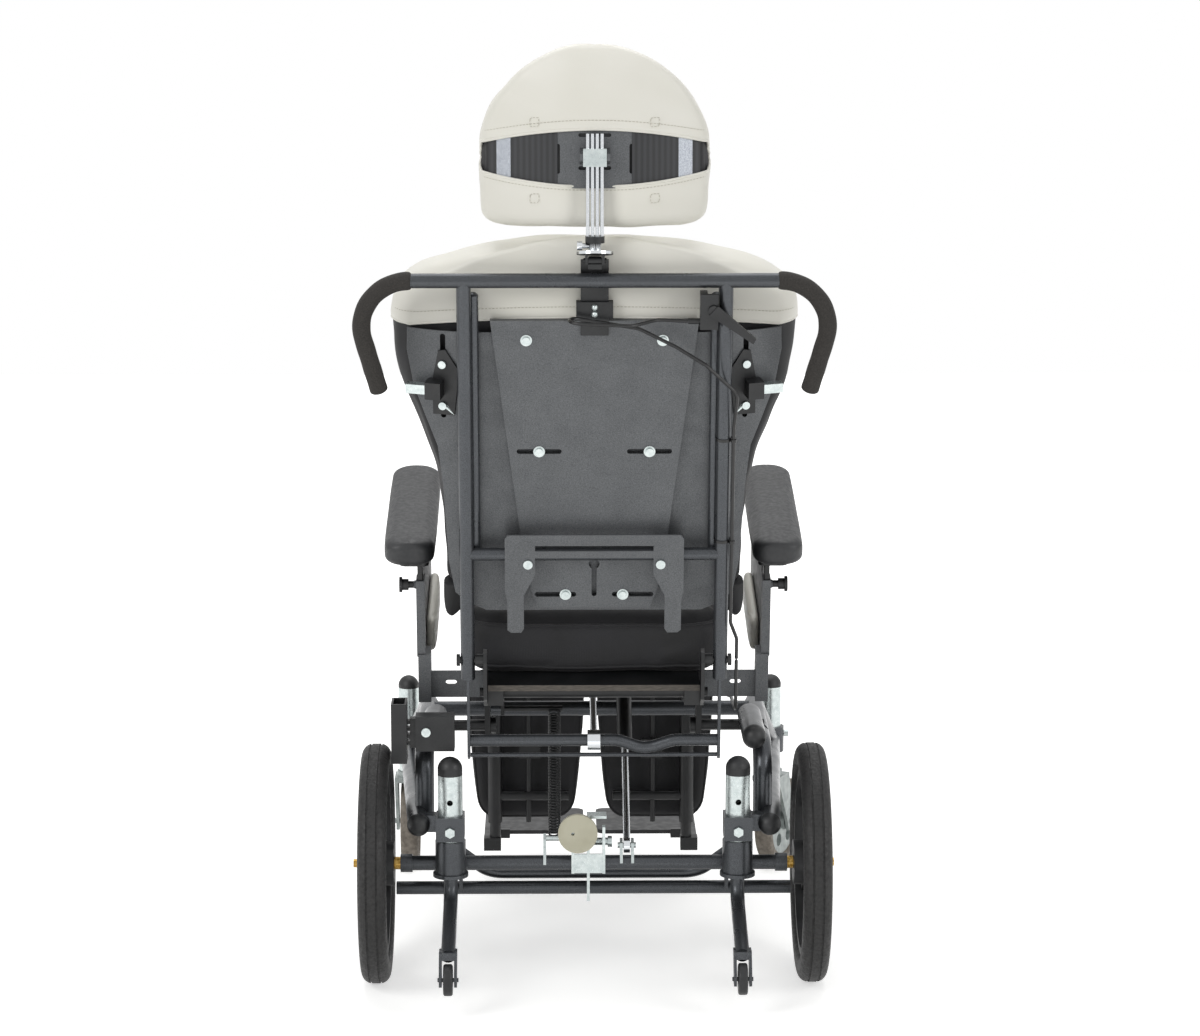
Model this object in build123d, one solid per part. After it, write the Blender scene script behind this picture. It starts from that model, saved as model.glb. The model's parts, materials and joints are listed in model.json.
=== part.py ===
"""Tilt-in-space positioning chair, built piece by piece in millimetres.

Axes: +X is the right of a person standing behind the chair, +Y the way the
chair faces, +Z up. The floor is z = 0 and the origin is under the middle.
"""

import os
from math import asin, cos, degrees, dist, radians, sin, sqrt

from build123d import *

# Fits
run_gap = 0.06  # radial play of a turning shaft in its hole
seat_gap = 0.3  # gap between pieces that are bolted or laid together

# Where the pieces stand
rear_axle_y = -229.5  # rear axle in the chair's own frame
tilt_y, tilt_z = 105.0, 346.0  # tilt pivot, from the floor under the rear axle
seat_tilt = 10.0  # seat angle at rest
hinge_y, hinge_z = -102.0, 144.0  # back hinge, in the seat's frame
back_angle = 92.0  # back to seat angle at rest
knee_y, knee_z = 358.0, 74.0  # legrest hinge, in the seat's frame
leg_angle = 80.0  # legrest to seat angle at rest

# Rear wheels
wheel_d = 340.0
axle_z = wheel_d / 2
wheel_x = 309.0  # middle of a rear wheel, which sets the width of the base
tyre_w = 40.0
tyre_h = 38.0
tyre_round = 15.0
groove_w, groove_depth, groove_x = 3.0, 2.0, 7.0
rim_w, rim_t = 30.0, 10.0
spoke_count = 6
spoke_w, spoke_t = 22.0, 12.0
hub_r = 32.0
hub_in, hub_out = 25.0, 16.0
axle_r = 6.0
axle_end_x = wheel_x + hub_out + 17.0
nut_af = 17.0
shoulder_r = 9.0

# Rear axle tube with its two sleeves
axle_tube_r = 10.5
axle_tube_half = wheel_x - hub_in - 9.0
collar_r, collar_w = 13.0, 17.0
post_x, post_y = wheel_x - 106.0, -31.0
post_r, post_bore_r = 17.5, 15.0
sleeve_r = 21.5
sleeve_low, sleeve_floor, sleeve_top = axle_z - 5.0, axle_z + 2.0, axle_z + 42.0
flange_r, flange_t = 25.0, 5.0
post_top = axle_z + 137.0
post_hole_r = 4.2
post_holes = (axle_z + 74.0, axle_z + 100.0)
post_bolt_z = axle_z + 59.0
cap_skirt, cap_rise = 6.0, 20.0

# Side frames
low_rear = (wheel_x - 61.0, -36.0, axle_z + 66.0)  # rear end of the lower tube, right side
stem_x, stem_y = wheel_x - 24.0, 572.0
low_front_z = 212.0
low_r = 15.0
riser_x, riser_y = wheel_x - 68.0, 25.0
brace_z, brace_y = 332.0, 310.0
brace_r, brace_bend = 13.5, 45.0
housing_x, housing_z, housing_r = wheel_x - 81.0, 350.0, 17.0
housing_back, housing_front = 18.0, 150.0
front_sleeve_r, front_sleeve_low, front_sleeve_top = 21.0, 192.0, 232.0
clamp_x, clamp_y = 20.0, 23.0
clamp_low, clamp_top = axle_z + 37.0, axle_z + 79.0
front_cross_r = 11.0

# Front stems and casters
stem_r, stem_low, stem_top = 16.0, 162.3, 296.0
caster_d, caster_w, caster_tyre_h = 140.0, 28.0, 18.0
caster_trail = 35.0
caster_left_swivel, caster_right_swivel = 0.0, -25.0
fork_gap, fork_t = 3.5, 5.0
crown_r, crown_low = 19.0, 148.0
caster_axle_r = 4.0

# Anti-tip arms
tip_r, tip_bend = 10.0, 34.0
tip_wheel_y, tip_wheel_z = -196.0, 58.0
tip_wheel_r, tip_wheel_w = 22.0, 13.0
tip_fork_t, tip_fork_gap, tip_axle_r = 4.0, 2.0, 3.0

# Cross tubes of the base
low_cross_r, low_cross_half = 9.5, wheel_x - 26.0
low_cross_y, low_cross_z = 40.0, axle_z - 48.0
gusset_x, gusset_t = post_x - 13.0, 5.0
bent_r, bent_bend = 8.5, 40.0
bent_half, bent_flat = gusset_x + 2.0, gusset_x - 40.0

# Nylon stop disc on the axle tube
disc_x, disc_front, disc_z = -23.0, -17.0, axle_z + 48.0
disc_r, disc_t, disc_hole_r = 28.0, 7.0, 2.5

# Tilt strut and its spring
strut_x = 47.0
foot_y, foot_z = 12.0, axle_z + 22.0  # lower eye of the tilt strut
strut_top_y, strut_top_z = 280.0, 60.0  # upper eye, in the seat's frame
strut_r, strut_rod_r = 11.0, 5.0
strut_rod_out = 190.0  # rod showing at rest
strut_eye_r, strut_eye_t = 11.0, 9.0
foot_pin_r, foot_eye_play = 4.0, 2.4
spring_x = -56.0
spring_low = (14.0, axle_z + 37.0)  # lower end of the spring at rest, from under the axle
spring_high = (172.0, 350.0)
spring_r, spring_wire_r, spring_turns = 8.0, 1.2, 44
spring_pin_r, spring_pin_half = 4.0, 12.0

# Seat
rail_in, rail_out = 128.0, 150.0
rail_low, rail_top = 68.0, 97.5
rail_back, rail_front = -88.0, 345.0
seat_cross_r, seat_cross_y = 11.0, (-66.0, 334.0)
lug_t = 6.0
pin_r, pin_out = 8.0, housing_x + 19.0
plate_half, plate_back, plate_front, plate_t = 149.5, -90.0, 352.0, 3.5
plate_lip = 9.0
cushion_half, cushion_back, cushion_front = 186.0, -58.0, 368.0
cushion_t, cushion_crown = 84.0, 12.0
hinge_t = 5.0
hinge_bolt_r = 5.0

# Armrests
arm_x, arm_w, arm_d = 240.5, 18.0, 34.0  # receiver on the seat frame
arm_y = -20.0
arm_low, arm_mid, arm_top = 52.0, 125.0, 236.0
arm_post_x, arm_post_w, arm_post_d = 245.0, 12.0, 28.0
arm_stem_w, arm_stem_d, arm_stem_low = 8.0, 22.0, 114.0
arm_pad_in, arm_pad_out = 224.0, 294.0
arm_pad_back, arm_pad_front = -66.0, 274.0
arm_pad_low, arm_pad_top = 268.3, 306.0
arm_plate_t = 6.0
panel_low, panel_top, panel_back, panel_front = 70.0, 235.0, -2.7, 285.0
panel_in, panel_out, side_pad_in = 240.0, 250.0, 227.0
plunger_z = 226.0
plunger_r, knob_r, knob_flange_r = 3.5, 8.0, 11.0

# Legrests, in the legrest's own frame with the knee hinge at the origin
leg_x, leg_r = 148.0, 11.0
leg_len = 372.0
leg_cross_r = 8.0
calf_half_top, calf_half_low, calf_inner = 92.0, 74.0, 8.0
calf_top, calf_low = -140.0, -372.0
calf_back, calf_t = 12.0, 52.0
calf_stud_x, calf_stud_z, calf_stud_r = 94.0, -253.0, 6.0
foot_plate_t, foot_plate_len, foot_plate_w = 6.0, 136.0, 138.0
foot_plate_in, foot_plate_back = 10.0, 82.0
foot_hinge_r, foot_knuckle_r = 3.5, 6.5
foot_bar_t, foot_lug = 10.0, 10.0
foot_drop = 412.0

# Back, in the back's own frame with the hinge at the origin
cane_x, cane_r = 177.0, 10.0
cane_low, cane_top = -28.0, 560.0
lever_t, lever_w, lever_end = 4.0, 22.0, -152.0
push_r, push_half, push_bend = 10.0, 336.0, 66.0
grip_tip_x, grip_tip_z = push_half - 43.0, 402.0
grip_t = 2.8
grip_start_x = push_half - 89.0
rail_x, rail_y, rail_r = 165.0, 13.2, 7.5
rail_span = (150.0, 535.0)
wave_z, wave_r, wave_dip = -125.0, 8.5, 14.0
link_r, link_z = 3.0, -148.0
wave_eye_t, wave_eye_play = 2.7, 3.6  # eye of the recline strut on the lower bent tube
back_cross_r, back_cross_z = 9.0, 161.0
shell_y, shell_t, shell_flat, wing_r = 24.0, 2.5, 150.0, 250.0
shell_half = ((66, 150), (78, 178), (92, 194), (140, 203), (250, 209), (310, 216))
shell_half = (*shell_half, (352, 232), (395, 248), (446, 257), (478, 256))
panel_y, panel_t, panel_wall = 14.0, 3.0, 9.7
panel_half = ((74, 78), (100, 88), (160, 99), (498, 142))
m6_r, m6_head_r, m6_head_h = 3.0, 5.5, 3.6
slot_w, slot_len = 7.2, 62.0
panel_slot_x, panel_slot_z = 76.0, 308.0
low_slot_x, low_slot_z, low_slot_len = 54.0, 94.0, 58.0
panel_bolt_x, panel_bolt_z = 93.0, 484.0
lateral_x, lateral_slot = 207.0, (352.0, 474.0)
lateral_bolts = (371.0, 431.0)
lateral_z = 398.0
lateral_bar, lateral_reach = 13.0, 254.0
hook_half, hook_low, hook_top, hook_t = 124.0, 47.0, 194.0, 3.0
pad_y, pad_curve = 27.5, 1300.0

# Headrest
head_bar_w, head_bar_t, head_bar_y = 38.0, 3.0, 10.6
head_bar_low, head_bar_top = 478.0, 586.0
lean_z, lean_pin_r, lean_knuckle_r, lean_half = 590.0, 3.0, 5.5, 9.0  # lean hinge under the disc
head_disc_r, head_disc_t, head_disc_y, head_disc_z = 24.5, 4.0, -4.0, 598.0
head_rod_r, head_rod_pitch, head_rod_count = 2.5, 6.4, 4
head_y, head_z = 40.0, 748.0  # head pad pivot, in the back's frame
head_lean = -12.0  # head pad against the back
head_curve = 268.0  # radius of the plate behind the head pad
head_plate_t, head_plate_half = 2.5, 140.0
head_plate_low, head_plate_top = -68.0, 16.0
head_pin_rise, head_pin_r = 128.0, 3.0

# Release lever and its cable
lever_x, lever_z = 166.0, 523.0
cable_r = 2.5
cable_turn_x = 200.0  # the cable passes the back hinge on its axis here
cable_meet = cable_r + seat_gap / 2  # round cable ends meet at the hinge axis

LOW = (Align.CENTER, Align.CENTER, Align.MIN)
base_place = Location((0, rear_axle_y, 0))
seat_place = base_place * Location((0, tilt_y, tilt_z), (seat_tilt, 0, 0))
back_place = seat_place * Location((0, hinge_y, hinge_z), (back_angle - 90, 0, 0))
leg_place = seat_place * Location((0, knee_y, knee_z), (leg_angle - 90, 0, 0))
head_place = back_place * Location((0, head_y, head_z), (head_lean, 0, 0))


def rod(start, end, radius, bore=0):
    """Round bar between two points, hollow when bore is given."""
    start, end = Vector(*start), Vector(*end)
    plane = Plane(origin=start, z_dir=end - start)
    length = (end - start).length
    bar = plane * Cylinder(radius, length, align=LOW)
    if bore:
        bar -= plane * Cylinder(bore, length, align=LOW)
    return bar


def block(x, y, z):
    """Box between the two limits given for each axis."""
    size = (abs(x[1] - x[0]), abs(y[1] - y[0]), abs(z[1] - z[0]))
    middle = ((x[0] + x[1]) / 2, (y[0] + y[1]) / 2, (z[0] + z[1]) / 2)
    return Location(middle) * Box(*size)


def bent(points, radius, bends, bore=0):
    """Round tube along straight runs joined by arcs."""
    path = FilletPolyline(*points, radius=bends)
    section = Circle(radius)
    if bore:
        section -= Circle(bore)
    return sweep(Plane(origin=path @ 0, z_dir=path % 0) * section, path=path)


def side_plate(points, x, thickness):
    """Plate with a (y, z) outline, from x to x + thickness."""
    plane = Plane(origin=(x, 0, 0), x_dir=(0, 1, 0), z_dir=(1, 0, 0))
    return extrude(plane * make_face(Polyline(*points, close=True)), amount=thickness)


def rear_plate(outline, y, thickness):
    """Plate from an (x, z) sketch, from y forward by the thickness."""
    plane = Plane(origin=(0, y, 0), x_dir=(1, 0, 0), z_dir=(0, -1, 0))
    return extrude(plane * outline, amount=-thickness)


def polygon(points):
    return make_face(Polyline(*points, close=True))


def both(right):
    """The right-hand piece and its mirror image on the left."""
    return Part() + [right, mirror(right, about=Plane.YZ)]


def left(right):
    return mirror(right, about=Plane.YZ)


def dome(radius, skirt, rise):
    """Closed cap with a short skirt and a domed end, growing along +Z."""
    sphere_r = (radius**2 + rise**2) / (2 * rise)
    ball = Location((0, 0, skirt + rise - sphere_r)) * Sphere(sphere_r)
    cap = ball & Location((0, 0, skirt)) * Cylinder(radius, rise + 1, align=LOW)
    return Cylinder(radius, skirt, align=LOW) + cap


def bolt(at, toward, length, radius=m6_r, head_r=m6_head_r, head_h=m6_head_h):
    """Button-head screw: the head sits under 'at', the shank runs toward."""
    plane = Plane(origin=at, z_dir=toward)
    screw = plane * Cylinder(radius, length, align=LOW)
    return screw + plane * Location((0, 0, -head_h)) * Cylinder(head_r, head_h, align=LOW)


def slot_at(x, z, length, width, upright=False):
    turn = 90 if upright else 0
    return Location((x, z), turn) * SlotOverall(length, width)


def half_outline(rows):
    """Closed (x, z) outline from (z, half width) rows, mirrored about x = 0."""
    right = [(half, z) for z, half in rows]
    return polygon(right + [(-x, z) for x, z in reversed(right)])


# Rear wheels


def rear_tyre():
    middle = wheel_d / 2 - tyre_h / 2
    section = Location((0, middle)) * RectangleRounded(tyre_w, tyre_h, tyre_round)
    for x in (-groove_x, groove_x):
        section -= Location((x, wheel_d / 2)) * Rectangle(groove_w, 2 * groove_depth)
    return Location((wheel_x, 0, axle_z)) * revolve(section, axis=Axis.X)


def rear_wheel():
    outer = wheel_d / 2 - tyre_h - seat_gap
    ring = rod((-rim_w / 2, 0, 0), (rim_w / 2, 0, 0), outer, outer - rim_t)
    hub = rod((-hub_in, 0, 0), (hub_out, 0, 0), hub_r)
    wheel = ring + hub
    for i in range(spoke_count):
        turn = Rotation(360 / spoke_count * i, 0, 0)
        spoke = block((-spoke_t / 2, spoke_t / 2), (-spoke_w / 2, spoke_w / 2), (0, outer - rim_t / 2))
        wheel += turn * spoke
    wheel -= rod((-hub_in, 0, 0), (hub_out, 0, 0), axle_r + run_gap)
    return Location((wheel_x, 0, axle_z)) * wheel


def rear_axle():
    inner = wheel_x - hub_in - seat_gap
    outer = wheel_x + hub_out + seat_gap
    bar = rod((axle_tube_half, 0, axle_z), (inner, 0, axle_z), shoulder_r)
    bar += rod((inner, 0, axle_z), (axle_end_x - 2, 0, axle_z), axle_r)
    face = Plane(origin=(outer, 0, axle_z), z_dir=(1, 0, 0))
    nut = extrude(face * RegularPolygon(nut_af / 2, 6, major_radius=False), amount=axle_end_x - outer - 5)
    cap = rod((axle_end_x - 6, 0, axle_z), (axle_end_x, 0, axle_z), axle_r)
    return bar + nut + cap


# Base frame


def rear_axle_tube():
    tube = rod((-axle_tube_half, 0, axle_z), (axle_tube_half, 0, axle_z), axle_tube_r)
    collar = rod((axle_tube_half - collar_w, 0, axle_z), (axle_tube_half, 0, axle_z), collar_r)
    sleeve = rod((post_x, post_y, sleeve_low), (post_x, post_y, sleeve_top), sleeve_r)
    flange = rod((post_x, post_y, sleeve_low - flange_t), (post_x, post_y, sleeve_low), flange_r)
    tube += both(collar + sleeve + flange)
    bore = rod((post_x, post_y, sleeve_floor), (post_x, post_y, sleeve_top), post_r + 0.1)
    hole = rod((post_x, post_y, sleeve_low - flange_t), (post_x, post_y, sleeve_floor), tip_r + run_gap)
    return tube - both(bore + hole)


def rear_post():
    post = rod((post_x, post_y, sleeve_floor + seat_gap), (post_x, post_y, post_top), post_r, post_bore_r)
    for z in (*post_holes, post_bolt_z):
        post -= rod((post_x, post_y - 40, z), (post_x, post_y + 40, z), post_hole_r)
    return post


def front_stem():
    return rod((stem_x, stem_y, stem_low), (stem_x, stem_y, stem_top), stem_r)


def tube_caps():
    post = Location((post_x, post_y, post_top)) * dome(post_r, cap_skirt, cap_rise)
    stem = Location((stem_x, stem_y, stem_top)) * dome(stem_r, cap_skirt - 1, cap_rise - 6)
    along = Vector(*low_rear) - Vector(stem_x, stem_y, low_front_z)
    low = Plane(origin=low_rear, z_dir=along).location * dome(low_r + 1, 4, 14)
    housing = Location((housing_x, housing_back, housing_z), (90, 0, 0)) * dome(housing_r, 6, 15)
    return Part() + [both(post), both(stem), both(low), housing]


def side_frame():
    """Right side: lower tube, brace, pivot housing, post clamp and stem sleeve."""
    frame = rod(low_rear, (stem_x, stem_y, low_front_z), low_r)
    ends = ((riser_x, riser_y, low_rear[2]), (riser_x, riser_y, brace_z))
    brace = (*ends, (riser_x + 2, brace_y, brace_z), (stem_x - 3, stem_y - 30, low_front_z + 4))
    frame += bent(brace, brace_r, brace_bend)
    frame += rod((housing_x, housing_back, housing_z), (housing_x, housing_front, housing_z), housing_r)
    frame += rod((stem_x, stem_y, front_sleeve_low), (stem_x, stem_y, front_sleeve_top), front_sleeve_r)
    across = (post_x - clamp_x, post_x + clamp_x)
    deep = (post_y - clamp_y, post_y + clamp_y)
    frame += block(across, deep, (clamp_low + 8, clamp_top))
    web_z = (low_rear[2] - 12, low_rear[2] + 12)
    frame += block((post_x + clamp_x - 2, low_rear[0] - 8), (post_y - 2, post_y + 20), web_z)
    frame -= rod((post_x, post_y, clamp_low), (post_x, post_y, clamp_top), post_r + 0.1)
    frame -= rod((post_x, post_y - 40, post_bolt_z), (post_x, post_y + 40, post_bolt_z), post_hole_r)
    frame -= rod((stem_x, stem_y, low_front_z - 40), (stem_x, stem_y, low_front_z + 40), stem_r + 0.1)
    pivot = ((housing_x - 40, tilt_y, tilt_z), (housing_x + 40, tilt_y, tilt_z))
    return frame - rod(*pivot, pin_r + run_gap)


def base_cross_tubes():
    y, z = low_cross_y, low_cross_z
    low = rod((-low_cross_half, y, z), (low_cross_half, y, z), low_cross_r)
    outline = ((-8, axle_z + 2), (12, axle_z), (y + 6, z + 4), (y - 8, z - 4))
    low += both(side_plate(outline, gusset_x - gusset_t / 2, gusset_t))
    axle = rod((-axle_tube_half, 0, axle_z), (axle_tube_half, 0, axle_z), axle_tube_r + 0.1)
    low -= axle
    high, sag = (13, axle_z + 14), (55, axle_z - 30)
    run = ((-bent_half, *high), (-bent_flat, *sag), (bent_flat, *sag), (bent_half, *high))
    sagging = bent(run, bent_r, bent_bend) - axle
    end = riser_x + 2
    front = rod((-end, brace_y - 40, brace_z), (end, brace_y - 40, brace_z), front_cross_r)
    line = ((riser_x, riser_y, brace_z), (riser_x + 2, brace_y, brace_z))
    front -= both(rod(*line, brace_r + 0.1))
    return Part() + [low, sagging, front]


def tilt_anchor():
    """Lug with pin for the tilt strut, hook bracket and clamps on the axle tube."""
    axle = rod((-100, 0, axle_z), (100, 0, axle_z), axle_tube_r + 0.1)
    outline = ((-13, axle_z + 2), (-4, foot_z + 7), (foot_y + 3, foot_z + 10), (foot_y + 9, foot_z))
    outline = (*outline, (13, axle_z - 4))
    inner = strut_eye_t / 2 + 1.5
    lug = side_plate(outline, strut_x + inner, 4) + side_plate(outline, strut_x - inner - 4, 4)
    lug += rod((strut_x - inner - 7, foot_y, foot_z), (strut_x + inner + 7, foot_y, foot_z), foot_pin_r)
    (y, z), _ = spring_pins()
    tip = 7
    arm = ((-13, axle_z), (13, axle_z - 4), (y + tip, z), (y, z + tip), (y - tip, z))
    side = spring_x - spring_pin_half - 4
    hanger = side_plate(arm, side, 4)
    hanger += rod((side, y, z), (spring_x + spring_pin_half, y, z), spring_pin_r)
    top, screw_z, low = axle_z + 68, axle_z + 26, axle_z - 12
    hook = ((-12, axle_z - 54), (14, axle_z - 58), (22, axle_z - 2), (24, top), (-2, top), (-14, axle_z + 30))
    plate = side_plate(hook, -10, 4) + block((-10, 18), (0, 24), (top - 4, top))
    plate += rod((-32, 18, screw_z), (26, 18, screw_z), 5.5)
    plate += rod((20, 18, screw_z), (26, 18, screw_z), 8)
    seat = disc_front + seat_gap
    clamp = ((seat, low), (15, low), (15, axle_z + 34), (8, axle_z + 40))
    clamp = (*clamp, (-4, disc_z + 8), (seat, disc_z + 8))
    ring = side_plate(clamp, -32, 4) + side_plate(clamp, 12, 4)
    lower = block((-28, 12), (-14, -11.5), (low, axle_z + 16)) + ring
    return Part() + [lug - axle, hanger - axle, (plate + lower) - axle]


def stop_disc():
    """Nylon disc that faces backward at the middle of the axle tube."""
    back = disc_front - disc_t
    disc = rod((disc_x, back, disc_z), (disc_x, disc_front, disc_z), disc_r)
    return disc - rod((disc_x - 7, back, disc_z), (disc_x - 7, disc_front, disc_z), disc_hole_r)


def accessory_holder():
    """Box bracket on the left pivot housing with an upright open socket."""
    outer = block((-252, -197), (-12, 17.5), (336, 386))
    inner = block((-249, -200), (-9, 17.5), (339, 383))
    stub = rod((-housing_x, -9, housing_z), (-housing_x, 17.5, housing_z), housing_r - 2)
    box = outer - inner + stub - rod((-237, -13, 364), (-237, -8, 364), m6_r + 0.2)
    for i in range(4):
        z = 344 + 10 * i
        box += block((-265, -251), (-4, 8), (z, z + 5))
    box += block((-260, -251), (-6, 10), (340, 382))
    tube = block((-286, -264), (-20, 24), (320, 406)) - block((-283, -267), (-17, 21), (323, 406))
    return box + tube


def base_fasteners():
    z = post_bolt_z
    back = post_y - clamp_y
    hexagon = Plane(origin=(post_x, back, z), z_dir=(0, -1, 0)) * RegularPolygon(6.5, 6, major_radius=False)
    head = extrude(hexagon, amount=5.3)
    screw = head + rod((post_x, back, z), (post_x, post_y + clamp_y + 8, z), 4)
    nut = rod((post_x, post_y + clamp_y, z), (post_x, post_y + clamp_y + 6, z), 6.5)
    side = stem_x + front_sleeve_r + 0.2
    clamp = rod((side, stem_y, low_front_z + 8), (side + 7, stem_y, low_front_z + 8), 5)
    button = bolt((-237, -12, 364), (0, 1, 0), 2.7, head_r=6.5, head_h=4)
    return Part() + [both(screw + nut), button, both(clamp)]


# Casters and anti-tip arms


def caster_fork():
    """Fork about its own swivel axis, wheel trailing along +Y."""
    half = caster_w / 2 + fork_gap
    axle = (caster_trail, caster_d / 2)
    crown = rod((0, 0, crown_low), (0, 0, stem_low - seat_gap), crown_r)
    crown += block((-half - fork_t, half + fork_t), (-crown_r, crown_r + 8), (crown_low - 3, crown_low + 5))
    arm = ((-crown_r, crown_low), (crown_r + 8, crown_low), (axle[0] + 13, axle[1] + 4))
    arm = (*arm, (axle[0] + 8, axle[1] - 13), (axle[0] - 8, axle[1] - 13), (axle[0] - 13, axle[1] + 2))
    fork = crown + side_plate(arm, half, fork_t) + side_plate(arm, -half - fork_t, fork_t)
    reach = half + fork_t + 4
    return fork + rod((-reach, *axle), (reach, *axle), caster_axle_r)


def caster_wheel():
    tread = caster_d / 2
    section = Location((0, tread - caster_tyre_h / 2)) * RectangleRounded(caster_w, caster_tyre_h, 7)
    tyre = revolve(section, axis=Axis.X)
    rim = tread - caster_tyre_h - seat_gap
    hub = rod((-caster_w / 2 + 4, 0, 0), (caster_w / 2 - 4, 0, 0), rim)
    hub += rod((-caster_w / 2 - 1, 0, 0), (caster_w / 2 + 1, 0, 0), 14)
    for i in range(5):
        turn = Rotation(72 * i, 0, 0)
        hub -= turn * rod((-caster_w, 0, 33), (caster_w, 0, 33), 10)
    hub -= rod((-caster_w, 0, 0), (caster_w, 0, 0), caster_axle_r + run_gap)
    return Location((0, caster_trail, caster_d / 2)) * (Part() + [tyre, hub])


def caster_at(side):
    swivel = caster_right_swivel if side > 0 else caster_left_swivel
    return base_place * Location((side * stem_x, stem_y, 0), (0, 0, swivel))


def tip_arm():
    """Arm turning in the right post sleeve, bent back to its small wheel."""
    end_y = tip_wheel_y + 12
    run = ((post_x, post_y, sleeve_floor - seat_gap), (post_x, post_y, 128), (post_x, end_y, 88))
    arm = bent(run, tip_r, tip_bend)
    half = tip_wheel_w / 2 + tip_fork_gap
    y, z = tip_wheel_y, tip_wheel_z
    outline = ((end_y - 4, 96), (end_y + 14, 92), (y + 9, z - 8), (y - 9, z - 8), (y - 12, z + 8))
    outer = half + tip_fork_t
    fork = side_plate(outline, post_x + half, tip_fork_t) + side_plate(outline, post_x - outer, tip_fork_t)
    fork += block((post_x - outer, post_x + outer), (end_y - 8, end_y + 15), (84, 95))
    pin = rod((post_x - outer - 2, y, z), (post_x + outer + 2, y, z), tip_axle_r)
    return arm + fork + pin


def tip_wheel():
    section = Location((0, tip_wheel_r / 2)) * RectangleRounded(tip_wheel_w, tip_wheel_r, 3)
    wheel = revolve(section, axis=Axis.X) + rod((-tip_wheel_w / 2, 0, 0), (tip_wheel_w / 2, 0, 0), 8)
    wheel -= rod((-tip_wheel_w, 0, 0), (tip_wheel_w, 0, 0), tip_axle_r + run_gap)
    return Location((post_x, tip_wheel_y, tip_wheel_z)) * wheel


# Seat, in the seat's frame


def seat_frame():
    rail = block((rail_in, rail_out), (rail_back, rail_front), (rail_low, rail_top))
    outline = ((-24, rail_low + 2), (-14, -10), (-6, -15), (6, -15), (14, -10), (26, rail_low + 2))
    rail += side_plate(outline, rail_out - 2, lug_t + 2)
    rail += block((rail_in + 2, rail_out + lug_t), (-24, 26), (rail_low, rail_top - 4))
    ear = ((knee_y + 10, knee_z + 8), (knee_y + 10, knee_z - 11))
    ear = (*ear, (rail_front - 20, rail_low + 3), (rail_front - 20, rail_top - 2))
    rail += side_plate(ear, rail_in + 8, 6)
    rail -= rod((rail_in - 4, 0, 0), (rail_out + 20, 0, 0), pin_r + 0.1)
    rail -= rod((rail_in, knee_y, knee_z), (rail_out, knee_y, knee_z), 5 + run_gap)
    frame = both(rail)
    middle = (rail_low + rail_top) / 2
    for y in seat_cross_y:
        frame += rod((-rail_in - 2, y, middle), (rail_in + 2, y, middle), seat_cross_r)
    ear = ((strut_top_y - 9, strut_top_z - 9), (strut_top_y + 9, strut_top_z - 9), (seat_cross_y[1], middle))
    ear = (*ear, (seat_cross_y[1], middle + 10), (strut_top_y - 9, rail_top - 4))
    inner = strut_r + 1
    for x in (strut_x + inner, strut_x - inner - 4):
        frame += side_plate(ear, x, 4)
    eye = (strut_top_y, strut_top_z)
    frame += rod((strut_x - inner - 4, *eye), (strut_x + inner + 4, *eye), 5)
    tab = ((seat_cross_y[1] - 8, middle), (seat_cross_y[1] + 6, middle), (318 + 8, 40), (318 - 8, 40))
    for x in (13, -17):
        frame += side_plate(tab, x, 4)
    frame += rod((-17, 320, 50), (17, 320, 50), 5)
    y, z = seen_from_seat(*spring_pins()[1])
    hanger = ((y - 8, z - 7), (y + 8, z - 7), (y + 14, rail_low + 4), (y - 14, rail_low + 4))
    frame += side_plate(hanger, -rail_in - 6, 5)
    return frame + rod((-rail_in - 6, y, z), (spring_x + spring_pin_half, y, z), spring_pin_r)


def seat_plate():
    low = rail_top + seat_gap
    sheet = block((-plate_half, plate_half), (plate_back, plate_front), (low, low + plate_t))
    lip = (low + plate_t - plate_lip, low + plate_t)
    sheet += block((-plate_half, plate_half), (plate_back - 3, plate_back), lip)
    for x in (-70, 70):
        for y in (60, 220):
            sheet -= rod((x, y, 80), (x, y, 120), 12)
    return sheet


def cushion_section(y, half, low, high, crown):
    """Cross-section of the seat cushion: flat base, drawn-in sides, crowned top."""
    plane = Plane(origin=(0, y, 0), x_dir=(1, 0, 0), z_dir=(0, -1, 0))
    foot, brow = half - 9, half - 14
    middle = (low + high) / 2
    base = Line((-foot, low), (foot, low))
    right = ThreePointArc((foot, low), (half, middle), (brow, high))
    top = ThreePointArc((brow, high), (0, high + crown), (-brow, high))
    side = ThreePointArc((-brow, high), (-half, middle), (-foot, low))
    return plane * make_face([base, right, top, side])


def seat_cushion():
    low = rail_top + 2 * seat_gap + plate_t
    high = low + cushion_t
    rows = (
        (cushion_back, cushion_half - 16, low + 20, high - 24, cushion_crown - 8),
        (cushion_back + 4, cushion_half - 8, low + 8, high - 10, cushion_crown - 5),
        (cushion_back + 14, cushion_half - 2, low + 1, high - 3, cushion_crown - 2),
        (cushion_back + 40, cushion_half, low, high, cushion_crown),
        (cushion_front - 70, cushion_half, low, high, cushion_crown),
        (cushion_front - 32, cushion_half - 1, low + 1, high - 4, cushion_crown - 2),
        (cushion_front - 12, cushion_half - 4, low + 4, high - 14, cushion_crown - 4),
        (cushion_front - 3, cushion_half - 9, low + 12, high - 28, cushion_crown - 6),
        (cushion_front, cushion_half - 18, low + 24, high - 40, cushion_crown - 8),
    )
    return loft([cushion_section(*row) for row in rows], ruled=True)


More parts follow.
